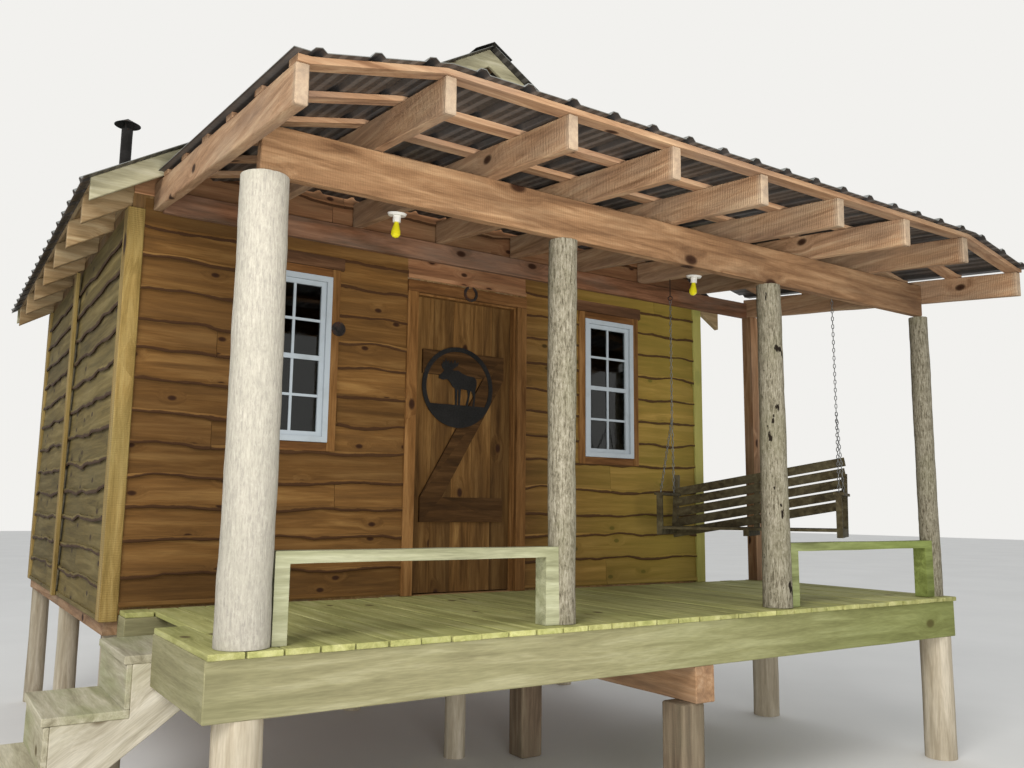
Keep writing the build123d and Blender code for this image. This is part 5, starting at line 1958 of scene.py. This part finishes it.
@dataclass
class Studio:
    """Plain pale floor, soft light and the camera at the photograph's place."""

    camera_place: tuple[float, float, float] = (-1.142, -3.656, 1.609)
    yaw: float = 33.5
    pitch: float = 8.04
    roll: float = 0.6
    focal_pixels: float = 896.5
    image_width: int = 1024
    sensor_width: float = 36.0
    clip: tuple[float, float] = (0.05, 300.0)
    floor_colours: tuple[str, str] = ("dedcd7", "e4e2dd")
    floor_half: float = 60.0
    floor_middle: tuple[float, float] = (2.0, 2.0)
    backdrop_colour: str = "f2f1ee"
    sky_colour: tuple[float, float, float, float] = (0.93, 0.96, 1.0, 1.0)
    sky_strength: float = 0.72
    lamps: tuple[Lamp, ...] = (
        # A large soft key from the left front, and a low fill that reaches under the porch roof
        Lamp("key", (-7.0, -5.0, 8.5), (1.5, 1.5, 1.5), 6.0, 1050.0, 180.0),
        Lamp("fill", (-0.6, -5.2, 1.3), (2.6, 0.2, 4.6), 2.4, 190.0, 100.0),
    )

    def build(self) -> None:
        """Build the floor, the lights and the camera."""
        self._floor()
        self._world()
        for lamp in self.lamps:
            lamp.build()
        self._camera()
        bpy.context.scene.view_settings.view_transform = "Standard"

    def _floor(self) -> None:
        """Lay a wide pale floor under the piers."""
        bpy.ops.object.select_all(action="DESELECT")
        middle = (*self.floor_middle, -HAIR)
        bpy.ops.mesh.primitive_plane_add(size=2 * self.floor_half, location=middle)
        floor = bpy.context.object
        floor.name = "studio_floor"
        graph = Graph(bpy.data.materials.new("studio_floor_paint"))
        dark, pale = self.floor_colours
        tint = graph.ramp(graph.noise(graph.place(), 0.6), [(0.3, linear(dark)), (0.7, linear(pale))])
        floor.data.materials.append(graph.finish({"Base Color": tint, "Roughness": 0.9}))

    def _world(self) -> None:
        """Set up a pale even sky that lights the object, plain white where it is seen or reflected."""
        world = bpy.data.worlds.new("studio_sky")
        bpy.context.scene.world = world
        graph = Graph(world)
        light = graph.put("Background", {"Color": self.sky_colour, "Strength": self.sky_strength})
        seen = graph.put("Background", {"Color": linear(self.backdrop_colour)})
        ray = graph.put("LightPath").outputs
        direct = graph.sum("MAXIMUM", ray["Is Camera Ray"], ray["Is Transmission Ray"])
        shown = graph.sum("MAXIMUM", direct, ray["Is Glossy Ray"])
        mixed = graph.put("MixShader", {0: shown, 1: light.outputs[0], 2: seen.outputs[0]})
        graph.put("OutputWorld", {"Surface": mixed.outputs[0]})

    def _camera(self) -> None:
        """Place the camera at the photograph's viewing angle."""
        data = bpy.data.cameras.new("camera")
        data.sensor_width = self.sensor_width
        data.lens = self.focal_pixels * self.sensor_width / self.image_width
        data.clip_start, data.clip_end = self.clip
        camera = bpy.data.objects.new("camera", data)
        yaw, pitch = math.radians(self.yaw), math.radians(self.pitch)
        way = Vector((math.sin(yaw) * math.cos(pitch), math.cos(yaw) * math.cos(pitch), math.sin(pitch)))
        turn = way.to_track_quat("-Z", "Y").to_matrix().to_4x4()
        turn = turn @ Matrix.Rotation(math.radians(self.roll), 4, "Z")
        camera.matrix_world = Matrix.Translation(self.camera_place) @ turn
        bpy.context.scene.collection.objects.link(camera)
        bpy.context.scene.camera = camera


def walls() -> list[WallFace]:
    """Lay out the eight faces of boards, each with the place and the turn of its wall.

    Returns:
        The faces, in the order in which they are built.
    """
    front, over_door, gable = (1.675, 2.300), (0.956, 0.222), (4.438, 1.440)
    side, back = (3.284, EAVE_TOP - SIDING_BOTTOM), (4.306, PLATE_TOP - SIDING_BOTTOM)
    left_window, right_window = Opening(0.612, 1.192, 0.899, 2.055), Opening(0.483, 1.063, 0.899, 2.055)
    ahead, leftward, rightward, behind = 0.0, -math.pi / 2, math.pi / 2, math.pi
    lift = 0.012
    return [
        WallFace(
            "front_wall_left", (-0.174, STUD_FACE, DECK_TOP), ahead, *front, SIDING, 1, left_window, lift
        ),
        WallFace(
            "front_wall_right", (2.457, STUD_FACE, DECK_TOP), ahead, *front, SIDING, 2, right_window, lift
        ),
        WallFace(
            "front_wall_over_door", (1.501, STUD_FACE, 3.138), ahead, *over_door, GABLE_SIDING, 3,
            foot_lift=lift,
        ),
        WallFace("left_wall", (STUD_LEFT, 5.002, SIDING_BOTTOM), leftward, *side, SIDE_SIDING, 4),
        WallFace("right_wall", (STUD_RIGHT, 1.718, SIDING_BOTTOM), rightward, *side, SIDE_SIDING, 5),
        WallFace("back_wall", (4.132, STUD_BACK, SIDING_BOTTOM), behind, *back, BACK_SIDING, 6),
        WallFace(
            "front_gable", (STUD_LEFT, STUD_FACE, PLATE_TOP), ahead, *gable, GABLE_SIDING, 7,
            foot_lift=lift, gable=True,
        ),
        WallFace(
            "back_gable", (STUD_RIGHT, STUD_BACK, PLATE_TOP), behind, *gable, BACK_SIDING, 8,
            foot_lift=lift, gable=True,
        ),
    ]


def log_groups() -> list[Logs]:
    """Lay out the posts, and the piers under the porch and the cabin.

    Returns:
        The groups, in the order in which they are built.
    """
    posts = [
        LogPlace(0.0, 0.0, 0.110, 0.103, 0.004),
        LogPlace(1.590, 0.0, 0.067, 0.077, -0.008),
        LogPlace(3.180, 0.0, 0.087, 0.071, 0.008),
        LogPlace(4.770, 0.0, 0.067, 0.062, -0.008),
    ]
    columns, rows = (-0.163, 1.979, 4.121), (1.703, 3.360, 5.017)
    cabin_piers = [LogPlace(x, y, 0.070, 0.068, 0.002) for x in columns for y in rows]
    corners = ((0.0, 0.0), (4.770, 0.0), (0.430, 1.490), (4.770, 1.490))
    porch_piers = [LogPlace(x, y, 0.101, 0.099, 0.002) for x, y in corners]
    peeled = {"swell": 0.006, "ridge": 0.002, "ridge_size": 0.04}
    return [
        Logs("log_posts", "porch_posts", POST_BARK, "bark_log", posts, DECK_TOP, POST_TOP),
        Logs(
            "cabin_pier_logs", "cabin_piers", PEELED, "log", cabin_piers, 0.0, CABIN_PIER_TOP,
            sides=24, pitch=0.10, **peeled,
        ),
        Logs(
            "porch_pier_logs", "porch_piers", PEELED, "log", porch_piers, 0.0, PORCH_PIER_TOP,
            sides=32, pitch=0.08, **peeled,
        ),
    ]


def main() -> None:
    """Load the frame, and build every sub-assembly and the studio."""
    logging.basicConfig(level=logging.INFO, format="%(name)s %(message)s")
    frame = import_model()
    bpy.ops.object.select_all(action="DESELECT")
    bpy.context.tool_settings.mesh_select_mode = (True, False, False)
    Studio().build()
    for wall in walls():
        wall.build(frame)
    for group in log_groups():
        group.build()
    PorchDeck().build()
    Casings().build()
    for lumber in SAWN_PIECES:
        lumber.build(frame)
    Fittings().build()
    RoofScrews().build()
    SwingChains().build()
    dress_plain_nodes(frame)


if __name__ == "__main__":
    main()
